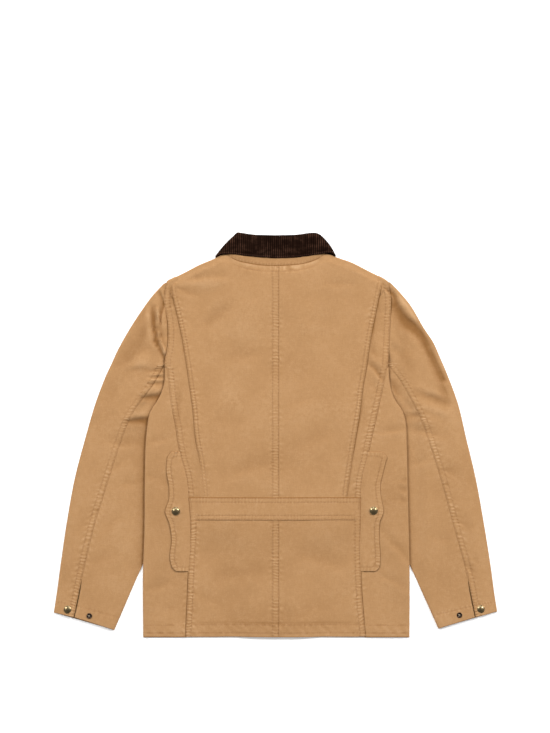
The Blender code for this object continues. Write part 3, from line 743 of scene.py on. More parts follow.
def mixNode(tree, share, first, second):
    node = tree.nodes.new("ShaderNodeMix")
    node.data_type = "RGBA"
    for number, value in ((0, share), (6, first), (7, second)):
        feed(node.inputs[number], value)
    return Signal(tree, node.outputs[2])


def splitPlace(tree, place):
    node = tree.nodes.new("ShaderNodeSeparateXYZ")
    feed(node.inputs[0], place)
    return [Signal(tree, node.outputs[axis]) for axis in "XYZ"]


def objectPlace(tree):
    return addNode(tree, "ShaderNodeTexCoord", "Object")


def clothValues(tree):
    # the place in the cloth, and how rubbed it is there together with its painted highlight and shade
    place = addNode(tree, "ShaderNodeAttribute", "Vector")
    place.socket.node.attribute_name = "clothPlace"
    rubbedAndShaded = addNode(tree, "ShaderNodeAttribute", "Fac")
    rubbedAndShaded.socket.node.attribute_name = "rubbedAndShaded"
    return place, rubbedAndShaded


def makeGroup(name, entries, results):
    # a node group that takes a vector where an entry has no value, and else numbers
    group = bpy.data.node_groups.new(name, "ShaderNodeTree")
    for label, value in entries.items():
        kind = "NodeSocketVector" if value is None else "NodeSocketFloat"
        socket = group.interface.new_socket(name=label, in_out="INPUT", socket_type=kind)
        if value is not None:
            socket.default_value = value
    for label in results:
        group.interface.new_socket(name=label, in_out="OUTPUT", socket_type="NodeSocketFloat")
    taken = group.nodes.new("NodeGroupInput").outputs
    given = group.nodes.new("NodeGroupOutput").inputs
    return group, {label: Signal(group, taken[label]) for label in entries}, given


def useGroup(tree, group, **values):
    node = tree.nodes.new("ShaderNodeGroup")
    node.node_tree = group
    for label, value in values.items():
        feed(node.inputs[label], value)
    return {socket.name: Signal(tree, socket) for socket in node.outputs}


def weaveGroup():
    # threads over and under, with slubs: a height and a tone
    entries = {"Place": None, "Threads": 1500.0, "Slub": 0.5}
    group, taken, given = makeGroup("threadWeave", entries, ["Height", "Tone"])
    x, y, z = splitPlace(group, taken["Place"])
    turns = taken["Threads"] * (2 * math.pi)
    warp = (x * turns).math("SINE")
    weft = (y * turns).math("SINE")
    twill = ((x + y) * (turns * 0.5)).math("SINE")
    woven = warp * weft * 0.3 + twill * 0.25
    warpSlub = noiseNode(group, taken["Place"], 1.0, 2.0, 0.6, (900, 60, 1))
    weftSlub = noiseNode(group, taken["Place"], 1.0, 2.0, 0.6, (55, 800, 1))
    slubs = (warpSlub + weftSlub - 1.0) * taken["Slub"]
    feed(given["Height"], woven + slubs)
    feed(given["Tone"], slubs + 0.5)
    return group


def toneAndShadingGroup():
    # paler on high spots and edges, partly worn and partly a painted highlight, darker in low ones, partly
    # painted shade, and a soft mottle all over
    entries = {"Place": None, "Relief": 0.0, "Mottle": 0.5}
    group, taken, given = makeGroup("wornAndShadedTone", entries, ["Pale", "Deep"])
    wide = noiseNode(group, taken["Place"], 16.0, 3.0, 0.5)
    small = noiseNode(group, taken["Place"], 120.0, 4.0, 0.6)
    fine = noiseNode(group, taken["Place"], 420.0, 3.0, 0.65)
    blotch = (wide * 0.3 + small * 0.32 + fine * 0.38 - 0.5) * taken["Mottle"]
    high = taken["Relief"].math("MAXIMUM", 0.0)
    low = (taken["Relief"] * -1.0).math("MAXIMUM", 0.0)
    feed(given["Pale"], (high * (small * 0.9 + 0.35) + blotch).clamped())
    feed(given["Deep"], (low - blotch).clamped())
    return group


def startMaterial(look):
    # a material with the values that stay the same all over it
    finish = bpy.data.materials.new(look["name"])
    finish.use_nodes = True
    shader = finish.node_tree.nodes["Principled BSDF"].inputs
    for label, value in look["fixed"].items():
        shader[label].default_value = value
    return finish, finish.node_tree, shader


def addBump(tree, shader, height, look):
    bump = addNode(
        tree, "ShaderNodeBump", "Normal", Height=height, Strength=look["bump"], Distance=look["bumpDepth"]
    )
    feed(shader["Normal"], bump)


canvasLook = {
    "name": "tanCanvas",
    "colour": (0.372, 0.203, 0.0865, 1),
    # pale is the colour of rubbed spots and of painted highlights, and deep the colour of painted shade in
    # troughs and beside edges
    "pale": (0.540, 0.338, 0.178, 1),
    "deep": (0.212, 0.095, 0.027, 1),
    "roughness": 0.9,
    "paleRoughness": -0.08,
    "threads": 1450.0,  # for each metre
    "slub": 0.32,
    "slubShade": 0.6,
    "mottle": 1.0,
    "bump": 0.55,
    "bumpDepth": 0.00022,
    "fixed": {"Sheen Weight": 0.08, "Sheen Roughness": 0.5, "Specular IOR Level": 0.2},
}


def makeCanvas(weave, toneAndShading):
    look = canvasLook
    finish, tree, shader = startMaterial(look)
    place, relief = clothValues(tree)
    threads = useGroup(tree, weave, Place=place, Threads=look["threads"], Slub=look["slub"])
    # worn holds the paler share, wear and painted highlight, and the darker share, painted shade
    worn = useGroup(tree, toneAndShading, Place=place, Relief=relief, Mottle=look["mottle"])
    colour = mixNode(tree, worn["Pale"], look["colour"], look["pale"])
    colour = mixNode(tree, worn["Deep"], colour, look["deep"])
    shade = (threads["Tone"] - 0.5) * look["slubShade"] + 1.0
    shaded = addNode(tree, "ShaderNodeHueSaturation", Value=shade, Color=colour)
    feed(shader["Base Color"], shaded)
    feed(shader["Roughness"], worn["Pale"] * look["paleRoughness"] + look["roughness"])
    addBump(tree, shader, threads["Height"], look)
    return finish


threadLook = {
    "name": "tanThread",
    "dark": (0.33, 0.175, 0.075, 1),
    "light": (0.46, 0.275, 0.135, 1),
    "toneScale": 900.0,
    "threads": 3200.0,
    "slub": 0.4,
    "bump": 1.0,
    "bumpDepth": 0.0001,
    "fixed": {"Roughness": 0.75},
}


def makeThread(weave):
    look = threadLook
    finish, tree, shader = startMaterial(look)
    place = objectPlace(tree)
    tone = noiseNode(tree, place, look["toneScale"], 2.0)
    feed(shader["Base Color"], mixNode(tree, tone, look["dark"], look["light"]))
    threads = useGroup(tree, weave, Place=place, Threads=look["threads"], Slub=look["slub"])
    addBump(tree, shader, threads["Height"], look)
    return finish


corduroyLook = {
    "name": "brownCorduroy",
    "colour": (0.0098, 0.0034, 0.0016, 1),
    "nap": (0.088, 0.041, 0.025, 1),
    "groove": (0.0032, 0.0010, 0.0004, 1),
    "pitch": 3.8,
    "mottle": 0.6,
    "napStretch": (1100, 260, 1),
    "wideStretch": (30, 46, 1),
    "streakStretch": (90, 150, 1),
    "waleStretch": (264, 16, 1),
    "bump": 0.6,
    "bumpDepth": 0.0003,
    "fixed": {
        "Roughness": 0.95,
        "Sheen Weight": 0.02,
        "Sheen Roughness": 0.4,
        "Sheen Tint": (0.6, 0.33, 0.2, 1),
        "Specular IOR Level": 0.035,
    },
}


def makeCorduroy(toneAndShading):
    # painted shade darkens the grooves between wales, and a painted highlight of the nap makes their tops
    # lighter in streaks
    look = corduroyLook
    finish, tree, shader = startMaterial(look)
    place, relief = clothValues(tree)
    x, y, z = splitPlace(tree, place)
    ridge = rampNode(tree, (x * (2 * math.pi * 1000 / look["pitch"])).math("COSINE"), -0.75, 0.6)
    nap = noiseNode(tree, place, 1.0, 3.0, 0.6, look["napStretch"])
    wide = noiseNode(tree, place, 1.0, 2.0, 0.5, look["wideStretch"])
    streak = noiseNode(tree, place, 1.0, 3.0, 0.55, look["streakStretch"])
    perWale = noiseNode(tree, place, 1.0, 1.0, 0.5, look["waleStretch"])
    unevenTone = rampNode(tree, wide * 0.42 + streak * 0.33 + perWale * 0.25, 0.44, 0.62)
    worn = useGroup(tree, toneAndShading, Place=place, Relief=relief, Mottle=look["mottle"])
    # the painted nap highlight also follows the paler share, and the darker share of painted shade holds it
    # down
    lift = (unevenTone * 0.95 + 0.04) * (nap * 1.1) + worn["Pale"] * 0.5
    lift = (lift * (worn["Deep"] * -0.8 + 1.0).clamped() * ridge).clamped()
    # the groove colour is painted shade, and the nap colour a painted highlight on the wale tops
    colour = mixNode(tree, ridge, look["groove"], look["colour"])
    feed(shader["Base Color"], mixNode(tree, lift, colour, look["nap"]))
    addBump(tree, shader, ridge * 0.5 + nap, look)
    return finish


brassLook = {
    "aged": (0.05, 0.032, 0.014, 1),
    "roughness": 0.3,
    "agedRoughness": 0.22,
    "bump": 0.25,
    "bumpDepth": 0.00008,
    "fixed": {"Metallic": 1.0, "Coat Weight": 0.3, "Coat Roughness": 0.28},
}
brassColours = {
    "agedBrass": (0.225, 0.165, 0.08, 1),
    "darkBrass": (0.034, 0.018, 0.012, 1),
    "postBrass": (0.7, 0.58, 0.42, 1),
}


def makeBrass(name):
    look = brassLook | {"name": name}
    finish, tree, shader = startMaterial(look)
    place = objectPlace(tree)
    blotch = rampNode(tree, noiseNode(tree, place, 420.0, 4.0, 0.65), 0.48, 0.76)
    speck = rampNode(tree, noiseNode(tree, place, 2600.0, 3.0, 0.6), 0.45, 0.7)
    aged = (blotch * 0.6).math("MAXIMUM", speck * 0.3)
    feed(shader["Base Color"], mixNode(tree, aged, brassColours[name], look["aged"]))
    feed(shader["Roughness"], aged * look["agedRoughness"] + look["roughness"])
    addBump(tree, shader, speck, look)
    return finish


weave = weaveGroup()
toneAndShading = toneAndShadingGroup()
canvas = makeCanvas(weave, toneAndShading)
thread = makeThread(weave)
corduroy = makeCorduroy(toneAndShading)
brasses = {name: makeBrass(name) for name in brassColours}
cloths = {
    "canvas": {"wall": 0.9, "finish": canvas, "slot": "tan_canvas"},
    "doubled": {"wall": 1.2, "finish": canvas, "slot": "tan_canvas"},
    "corduroy": {"wall": 1.1, "finish": corduroy, "slot": "brown_corduroy"},
}
print("materials ready")


# Body panels

pleat = {
    "rows": (1.9, 8.2),
    "width": 9.2,
    "flatter": {"left": 0.85, "right": 0.4},
    "meet": {"left": 0.9, "right": 0.6},
    "shade": {"left": 0.45, "right": 0.8},
    "sideShade": {"left": 0.06, "right": 0.16},
}
centreSeam = {
    "lapOver": 6.8,
    "underPast": 1.0,
    "rows": (1.3, 12.3),
    "width": 13.6,
    "underLines": [0, 4, 6.2, 7.2, 8, 9, 11, 14, 18],
}
neckSeam = {"row": 10.4, "reach": 88.0, "fade": 14.0, "stitched": 84.0}
hemTurn = {
    "depth": 24.0,
    "rows": (8.0, 23.6),
    "rise": 0.4,
    "ropePitch": 21.0,
    "ropeDepth": 0.09,
    "low": 0.4,  # the side panels' hem lies this far above the others
    "skirtShade": 0.2,
}
shoulder = {"starts": 92.0, "fade": 8.0, "drop": 1.45, "stitchedBelow": 690.0}
frontEdge = {"rows": (2.2, 36.0), "stitchedBelow": 660.0, "acrossStep": 6.0, "alongStep": 5.0}
sidePanel = {"rows": 318, "beyond": (524.0, 531.0)}


def centreSide(name):
    # how far a half goes past the centre, and its lines beside the seam
    if name == "left":
        return centreSeam["lapOver"], bandLines
    return centreSeam["underPast"], centreSeam["underLines"]


def centreBand(name, x, y):
    # the left half laps over the right one down the centre, stitched in two rows
    fromFold = centreSeam["lapOver"] - x
    if name == "left":
        return lapped(fromFold, y, 21, centreSeam["rows"], centreSeam["width"], 0.65, 0.3)
    return tuckedUnder(-fromFold, 0.1) + besideSeam(np.maximum(-fromFold, 0), y, 21)


def pleatShare(name, y):
    # the pleats lie flatter towards the belt
    return 1 - pleat["flatter"][name] * eased((380 - y) / 60)


def belowShoulder(line):
    return line[:, 1] < shoulder["stitchedBelow"]


def topOfBack(x):
    return backTop(sideOf(x), np.abs(x))


def hemBand(fromLow, along, draw):
    raised = hemTurn["rise"] * eased((hemTurn["depth"] + 1.5 - fromLow) / 3)
    fine = rolled(fromLow, 1.6, 0.9)
    for number, row in enumerate(hemTurn["rows"]):
        fine = fine + 0.9 * groove(fromLow, row) + 0.95 * beaded(fromLow, along, row, draw + 9 * number)
    wander = 5 * softNoise(along, 0 * fromLow, 40, draw)
    rope = np.sin(2 * math.pi * (along + 1.6 * wander + 1.1 * fromLow) / hemTurn["ropePitch"])
    uneven = 0.55 + 0.6 * softNoise(along, fromLow, 26, draw + 1)
    window = eased(fromLow / 4) * eased((hemTurn["depth"] + 4 - fromLow) / 7)
    fine = fine + hemTurn["ropeDepth"] * rope * uneven * window
    return both(raised + fine, fine)


def hemLine(x):
    return layout["hem"] + 0.6 * (1 + softNoise(x, 0 * x, 46, 4))


def shoulderRoll(x, fromHigh, drop):
    share = eased((np.abs(x) - shoulder["starts"]) / shoulder["fade"])
    return rolled(fromHigh, layout["turn"], drop) * share


def makeBack(name):
    side = sides[name]
    past, near = centreSide(name)
    x, y, fromInner, fromOuter, fromLow, fromHigh = panelGrid(
        side,
        lambda y: 0 * y - side * past,
        lambda y: side * pleatEdge(side, y),
        lambda x: 0 * x + layout["waistJoin"] + 0.2,
        topOfBack,
        spread(near, bandLines, 170, layout["acrossStep"]),
        spread([0], topLines, 475, layout["alongStep"]),
    )
    away = eased(fromOuter / 26 - 0.2)
    relief = np.maximum(bodyFolds(x, y) * belowTop(x, y), -1.0) * mixed(0.3, 1, away)
    relief = relief + crumple(x, y, 11) * belowTop(x, y) * mixed(0.25, 1, away)
    seams = lapped(fromOuter, y, 25, pleat["rows"], pleat["width"], 0.65, pleatShare(name, y))
    seams = seams * eased(fromHigh / 10) + centreBand(name, x, y)
    neck = eased((neckSeam["reach"] - np.abs(x)) / neckSeam["fade"])
    ridge = 0.12 * hump(fromHigh - 3.2, 2.4) + groove(fromHigh, neckSeam["row"])
    ridge = ridge + rolled(fromHigh, 1.4, 0.5)
    seams = seams + both(neck * (ridge + puckered(fromHigh, x, 31, 9.5, 0.6)))
    z = centerLevel(x, y) + relief + seams[0] + shoulderRoll(x, fromHigh, shoulder["drop"])
    rubbedAndShaded = wearAndShading(seams, relief + tonePatches(x, y) / 0.28)
    places = sewSheet(f"back_center_{name}", x, y, z, rubbedAndShaded)
    stitchAt(places, fromOuter, pleat["rows"], belowShoulder)
    if name == "left":
        stitchAt(places, fromInner, centreSeam["rows"])
    nearNeck = lambda line: np.abs(line[:, 0]) < neckSeam["stitched"]
    stitchAlong(places, fromHigh, [neckSeam["row"]], nearNeck)


def makeSideBack(name):
    side = sides[name]
    topEdge = float(backTop(side, 205.0))

    def inner(y):
        return side * (pleatEdge(side, y) + 1.4 - 16 * eased((topEdge - 22 - y) / 30))

    def outer(y):
        above = eased((y - layout["seamTop"] + 1.6) / 3.2)
        return side * (mixed(sideBackSeam(side, y), armhole(side, y), above) - 0.3)

    x, y, fromInner, fromOuter, fromLow, fromHigh = panelGrid(
        side,
        inner,
        outer,
        lambda x: 0 * x + layout["waistJoin"] + 0.2,
        topOfBack,
        spread([0, 6], bandLines, 44, layout["acrossStep"]),
        spread([0], topLines, 450, layout["alongStep"]),
    )
    away = eased((np.abs(x) - pleatEdge(side, y) - 1) / 8)
    relief = 0.9 * bodyFolds(x, y) * mixed(0.3, 1, away) + 0.7 * crumple(x, y, 14) * away
    ladder = mixed(0.85, 0.4, eased((y - 500) / 40))
    seams = lapped(fromOuter, y, 41 + side, strength=ladder, drop=seamShare(side, y))
    seams = seams * eased(fromHigh / 8)
    share = pleatShare(name, y)
    fromPleat = np.maximum(np.abs(x) - pleatEdge(side, y), 0)
    near = hump(fromPleat, 7) * (pleat["meet"][name] + 1.1 * (1 - share))
    z = sideLevel(x, y) + near + relief + seams[0] + shoulderRoll(x, fromHigh, shoulder["drop"])
    # painted shadow beside the pleat's edge, on the side back that lies under it
    paintedShadow = 1.3 * hump(fromPleat, 1.7) + 0.25 * hump(fromPleat, 9) * eased((y - 520) / 60)
    paintedShadow = paintedShadow * eased((topEdge - 8 - y) / 30) * share
    rubbedAndShaded = np.clip(wearAndShading(seams, relief) + tonePatches(x, y) - pleat["shade"][name] * paintedShadow, -1, 1)
    places = sewSheet(f"side_back_{name}", x, y, z, rubbedAndShaded)
    stitchAt(places, fromOuter, seam["rowsIn"], belowShoulder)


def foldedSheet(start, edge, end, topLevel, underLevel, near, reach=None, underStep=7.0, steps=6):
    # rows that run from a seam to a folded edge, round it and back underneath. Each of start, edge and
    # end is a line of points, one for each row
    reach = layout["turn"] if reach is None else reach
    toStart, toEnd = start - edge, end - edge
    wide = np.linalg.norm(toStart, axis=1)[:, None]
    deep = np.linalg.norm(toEnd, axis=1)[:, None]
    reach = np.minimum(reach, 0.45 * np.minimum(wide, deep))
    toStart, toEnd = toStart / wide, toEnd / deep
    lines = spread(near, [0], float(wide.mean()) - 3, layout["acrossStep"])
    fromStart = lines[:, 0][None, :] + lines[:, 1][None, :] * (wide - reach)
    fromStart = np.maximum.accumulate(np.clip(fromStart, 0, wide - reach), axis=1)
    flat = start[:, None, :] - toStart[:, None, :] * fromStart[:, :, None]
    topX, topY = flat[..., 0], flat[..., 1]
    topZ = topLevel(topX, topY, fromStart, wide - fromStart)
    under = edge + toEnd * reach
    underZ = underLevel(under[:, 0], under[:, 1])[:, None]
    angles = np.radians(np.linspace(90, -90, steps + 1)[1:-1])
    towards = mixed(toEnd[:, None, :], toStart[:, None, :], (0.5 + 0.5 * np.sin(angles))[None, :, None])
    turned = edge[:, None, :] + towards * (reach * (1 - np.cos(angles))[None, :])[:, :, None]
    turnedZ = mixed(underZ, topZ[:, -1:], 0.5 + 0.5 * np.sin(angles)[None, :])
    count = max(2, round(float(deep.mean()) / underStep))
    shares = np.linspace(0, 1, count + 1)[None, :, None]
    back = under[:, None, :] + (end - under)[:, None, :] * shares
    backZ = underLevel(back[..., 0], back[..., 1])
    x = np.concatenate([topX, turned[..., 0], back[..., 0]], axis=1)
    y = np.concatenate([topY, turned[..., 1], back[..., 1]], axis=1)
    z = np.concatenate([topZ, turnedZ, backZ], axis=1)
    return x, y, z, fromStart


def padded(values, like):
    # values for the upper cloth, with none for the rest of a folded sheet
    rest = np.zeros((like.shape[0], like.shape[1] - values.shape[1]))
    return np.concatenate([values, rest], axis=1)


def makeSidePanel(name):
    side = sides[name]
    y = mixed(layout["hem"], layout["panelTop"], np.linspace(0, 1, sidePanel["rows"]))
    y = np.concatenate([[y[0], y[0] + 0.4, y[0] + 1.0], y[1:]])
    clear = 0.8 * eased((y - 480) / 30)
    tuck = seam["tuckUnder"] + 0 * y
    start = np.stack([side * (sideBackSeam(side, y) + 0.4 - tuck), y], axis=1)
    # past the underarm it narrows and stays under the side back's edge
    first, second = sidePanel["beyond"]
    inward = 1.3 * eased((y - first) / 6) + 2.9 * eased((y - second) / 6)
    edge = np.stack([side * (sideEdge(side, y) - inward), y], axis=1)
    end = np.stack([side * (sideSeam(side, y) + 0.2 + clear), y], axis=1)
    start[:, 1] = end[:, 1] = edge[:, 1] = y + hemLine(edge[:, 0]) - layout["hem"] - 0.6
    marks = {}

    def top(x, y, fromStart, fromEdge):
        past = fromStart - tuck[:, None]
        relief = 0.8 * bodyFolds(x, y) + 0.75 * crumple(x, y, 14) * eased((fromEdge - 2) / 10)
        seams = tuckedUnder(past, seamShare(side, y))
        seams = seams + besideSeam(np.maximum(past, 0), y, 41 + side)
        seams = seams + hemBand(y - layout["hem"] - hemTurn["low"], x, 55)
        # painted shade of the soft folds on the side panel, around 290 mm up
        tone = pleat["sideShade"][name] * hump(y - 290, 60)
        marks["rubbedAndShaded"] = np.clip(wearAndShading(seams, relief) + tonePatches(x, y) - tone, -1, 1)
        level = sideLevel(x, y) - 1.3 * eased((y - first) / 5)
        return level + relief * eased(fromEdge / 5) + seams[0] - 0.5 * eased((6 - fromEdge) / 8)

    x, y, z, fromStart = foldedSheet(start, edge, end, top, restLevel, tuckedLines)
    rubbedAndShaded = padded(marks["rubbedAndShaded"], x)
    places = sewSheet(f"side_panel_{name}", x, y, z, rubbedAndShaded)
    upper = places[:, : fromStart.shape[1]]
    fromHem = upper[..., 1] - layout["hem"] - hemTurn["low"]
    stitchAlong(upper, fromHem, hemTurn["rows"], lambda line: side * line[:, 0] > 178)


def makeSkirt(name):
    side = sides[name]
    past, near = centreSide(name)
    x, y, fromInner, fromOuter, fromLow, fromHigh = panelGrid(
        side,
        lambda y: 0 * y - side * past,
        lambda y: side * (sideBackSeam(side, y) - 0.2),
        hemLine,
        lambda x: 0 * x + layout["waistJoin"] - 0.2,
        spread(near, bandLines, 175, layout["acrossStep"]),
        spread([0, 0.4, 1.0, 1.8], [0], 250, layout["alongStep"]),
    )
    relief = np.maximum(bodyFolds(x, y), -0.9)
    relief = relief + crumple(x, y, 17) * mixed(0.4, 1, eased(fromOuter / 20))
    seams = lapped(fromOuter, y, 61 + side) + hemBand(fromLow, x, 55) + centreBand(name, x, y)
    z = skirtLevel(x, y) + relief * eased(fromHigh / 12) + seams[0]
    # painted shade, darker towards the hem in the middle of the skirt and in the hollow above the hem band
    tone = hemTurn["skirtShade"] * eased((78 - fromLow) / 40) * eased((150 - np.abs(x - 20)) / 60)
    tone = tone * eased((fromLow + 2) / 26)
    hollow = 0.25 + 0.15 * softNoise(x, 0 * x, 30, 57)
    tone = tone + hollow * hump(fromLow - hemTurn["depth"] - 4, 2.6)
    rubbedAndShaded = np.clip(wearAndShading(seams, relief) + tonePatches(x, y) - tone, -1, 1)
    places = sewSheet(f"skirt_{name}", x, y, z, rubbedAndShaded)
    stitchAt(places, fromOuter, seam["rowsIn"])
    if name == "left":
        stitchAt(places, fromInner, centreSeam["rows"])
    stitchAlong(places, fromLow, hemTurn["rows"])


def makeFront(name):
    side = sides[name]
    x, y, fromInner, fromOuter, fromLow, fromHigh = panelGrid(
        side,
        lambda y: 0 * y - side * laid["lap"],
        lambda y: side * (sideSeam(side, y) - 0.2),
        lambda x: 0 * x + layout["hem"] + 1.2,
        lambda x: frontTop(sideOf(x), np.abs(x)),
        spread([0, 0.6, 1.8, 4, 8, 12, 20, 28], [0, 1, 3], 222, frontEdge["acrossStep"]),
        spread([0, 0.6, 1.8, 6, 12], [0, 0.4, 1.0, 1.9, 3.0, 4.5], 720, frontEdge["alongStep"]),
    )
    away = eased((np.abs(x) - 60) / 20) * eased(fromOuter / 30) * eased(fromHigh / 80)
    folds = np.maximum(creased(frontCreases[name], np.abs(x), y, 8), 0) * away
    z = frontLevel(name, x, y) + folds - rolled(fromInner, 1.5, 0.5)
    z = z - shoulderRoll(x, fromHigh, shoulder["drop"])
    places = sewSheet(f"front_{name}", x, y, z, -0.5 * folds, faceUp=False)
    belowNeck = lambda line: line[:, 1] < frontEdge["stitchedBelow"]
    stitchAt(places, fromInner, frontEdge["rows"], belowNeck, -1)
    stitchAlong(places, fromLow, hemTurn["rows"][1:], None, -1)


print("sewing the body")
for sideName in sides:
    makeFront(sideName)
    makeSidePanel(sideName)
    makeSideBack(sideName)
    makeBack(sideName)
    makeSkirt(sideName)


# Sleeves

sleeve = {
    "vent": 11.2,
    "ventGap": 0.9,
    "frontSeam": 0.2,
    "underFrom": 5,
    "rowsPerStation": 26,
    "cuffRow": 24.0,
    "capLift": 0.3,
    "pressBeside": 1.0,
    "gatherLift": 2.2,
    "shade": {"left": 0.42, "right": 0.1},
    "clearBeside": 0.85,
    # where the sleeve head meets the side back: from, to and how softly it starts
    "meetHead": {"left": (542, 590, 20), "right": (536, 630, 34)},
    "hiddenTuck": 6.0,
    "hiddenLevel": 2.25,
    "lines": [0, 0.5, 1.1, 1.9, 2.9, 4.0, 4.8, 5.4, 6.0, 6.6, 7.3, 8.2, 9.2, 10.6, 11.8, 13.4, 16, 19],
    "lowest": 1.75,
    "lowestUnder": 1.5,
    "underStep": 9.0,
    "armRise": {"left": (0.35, 0.55, 0.3, 0.6), "right": (0.35, -0.1, 0.3, -0.15)},
}


def stationLines(name):
    # the outer fold, the back seam and the inner fold at any station, each out and height
    table = np.array(sleeveStations[name], float)
    slopes = np.gradient(table, axis=0)
    last = len(table) - 1

    def read(stations):
        row = np.clip(stations.astype(int), 0, last - 1)
        t = (stations - row)[:, None]
        curve = smoothCurve(t, table[row], table[row + 1], slopes[row], slopes[row + 1])
        return curve[:, 0:2], curve[:, 2:4], curve[:, 4:6]

    return read, last


def sleeveLevel(name):
    side = sides[name]
    read, last = stationLines(name)
    outer = read(np.linspace(0, last, 80))[0]
    heights, outs = outer[::-1, 1], outer[::-1, 0]

    def level(x, y):
        out = np.abs(x)
        above = eased((y - layout["underarm"] + 24) / 48)
        fromBody = mixed(out - sideEdge(side, y) - 12, out - armhole(side, y) + 4, above)
        fromFold = np.interp(y, heights, outs) - out
        loft = laid["sleeveLoft"] * eased(fromBody / 30) * eased(fromFold / 26)
        within = eased(fromFold / 10)
        creases = creased(sleeveCreases[name], out, y, 5 if name == "left" else 6) * within
        soft = 0.9 * crumple(x, y, 19) * within * eased(fromBody / 6)
        cap = sleeve["capLift"] * eased((y - layout["underarm"]) / 60)
        pressed = sleeve["pressBeside"] * eased((26 - fromBody) / 22) * (1 - above)
        beside = out - sideEdge(side, y)
        gathered = eased((y - 400) / 26) * eased((566 - y) / 26)
        gathered = gathered * eased((beside - 0.5) / 6) * eased((70 - beside) / 45)
        pressed = pressed - sleeve["gatherLift"] * gathered
        height = laid["pressedSleeve"] + cap + loft - pressed + creases + soft
        # a soft floor, so that no crease sinks through the layer below
        lowest = sleeve["lowest"]
        height = lowest + np.log1p(np.exp(np.clip((height - lowest) * 2.2, -30, 30))) / 2.2
        return height, creases + soft

    return level


def sleeveRows(name):
    # the lines that both halves of a sleeve share, with one row for each step down it
    read, last = stationLines(name)
    stations = np.linspace(0, last, last * sleeve["rowsPerStation"] + 1)
    stations = np.sort(np.concatenate([stations, [last - 0.035, last - 0.012]]))
    outer, seamLine, inner = read(stations)
    across = outer - seamLine
    across = across / np.linalg.norm(across, axis=1)[:, None]
    steps = np.linalg.norm(np.diff(0.5 * (outer + inner), axis=0), axis=1)
    toCuff = np.concatenate([np.cumsum(steps[::-1])[::-1], [0]])
    stations = stations[:, None]
    return SimpleNamespace(
        stations=stations,
        outer=outer,
        seamLine=seamLine,
        inner=inner,
        across=across,
        toCuff=toCuff[:, None],
        vent=sleeve["ventGap"] * eased((stations - sleeve["vent"]) / 0.6),
        toArmhole=np.stack([sideSeam(sides[name], inner[:, 1]) + 0.8, inner[:, 1]], axis=1),
        hiddenSeam=mixed(inner, outer, sleeve["frontSeam"]),
    )


def hiddenEnd(rows, ahead, soft):
    # where a half ends underneath: along the armhole, and then at the hidden seam
    share = eased((rows.stations - sleeve["underFrom"] + ahead) / soft)
    return mixed(rows.toArmhole, rows.hiddenSeam, share)


def cuffBand(fromCuff, fromStart, side):
    row = sleeve["cuffRow"]
    raised = 0.35 * eased((row + 1.5 - fromCuff) / 3)
    fine = rolled(fromCuff, 1.4, 0.8) + groove(fromCuff, row)
    fine = fine + 0.8 * puckered(row + 4 - fromCuff, fromStart, 71 + side, 9.0, 0.7)
    return both(raised + fine, fine)


def onSurface(x, y):
    return 0 * x


def makeTopSleeve(name, rows, level):
    side = sides[name]
    mirror = np.array([side, 1.0])
    nearBody, atArm = sleeve["armRise"][name][:2]
    below = eased((rows.stations - 4.5) / 0.5)
    tuck = mixed(seam["tuckUnder"], sleeve["hiddenTuck"], eased((rows.stations - 1.6) / 0.8))
    tuck = tuck * eased((4.95 - rows.stations) / 0.2)
    marks = {}

    def top(x, y, fromStart, fromEdge):
        height, folds = level(x, y)
        along = rows.toCuff + 0 * fromStart
        drop = nearBody + atArm * eased((y - 440) / 60)
        seams = lapped(fromStart, along, 73 + side, drop=drop) * below * eased((fromEdge - 4) / 8)
        past = fromStart - tuck
        beside = np.maximum(past, 0)
        head = tuckedUnder(past, seamShare(side, y)) + 0.5 * besideSeam(beside, y, 75 + side)
        seams = seams + head * (1 - below)
        seams = seams + cuffBand(along, fromStart, side) * eased(fromEdge / 6)
        # painted shadow on the sleeve beside the armhole seam
        paintedShadow = hump(beside, 2.4) * (1 - below) * seamShare(side, y)
        marks["rubbedAndShaded"] = np.clip(wearAndShading(seams, folds) + tonePatches(x, y) - 0.6 * paintedShadow, -1, 1)
        vent = 0.5 * eased((14 - fromStart) / 6) * eased((rows.stations - sleeve["vent"]) / 0.5)
        low, high, soft = sleeve["meetHead"][name]
        meets = eased((y - low) / soft) * eased((high - y) / 12)
        meet = (restLevel(x, y) + 0.3) * meets * hump(beside, 12)
        plain = height + seams[0] + vent + meet
        # under the side back it comes up against the body, so that no gap shows from the side
        hidden = eased(-past / 2.2) * eased((4.95 - rows.stations) / 0.15) * eased((640 - y) / 40)
        return mixed(plain, restLevel(x, y) + sleeve["hiddenLevel"], hidden)

    intoSleeve = rows.across * (0.1 + rows.vent) - tuck * np.array([1.0, 0.1])
    start = (rows.seamLine + intoSleeve) * mirror
    end = (hiddenEnd(rows, 0.35, 0.25) + rows.across * 0.2) * mirror
    x, y, z, fromStart = foldedSheet(
        start, rows.outer * mirror, end, top, onSurface, sleeve["lines"], underStep=sleeve["underStep"]
    )
    rubbedAndShaded = padded(marks["rubbedAndShaded"], x)
    places = sewSheet(f"top_sleeve_{name}", x, y, np.maximum(z, 0), rubbedAndShaded)
    upper = places[:, : fromStart.shape[1]]
    clear = rows.stations[:, 0] > 4.8
    stitchAt(upper[clear], fromStart[clear], seam["rowsIn"])
    stitchAlong(upper, rows.toCuff + 0 * fromStart, [sleeve["cuffRow"]])


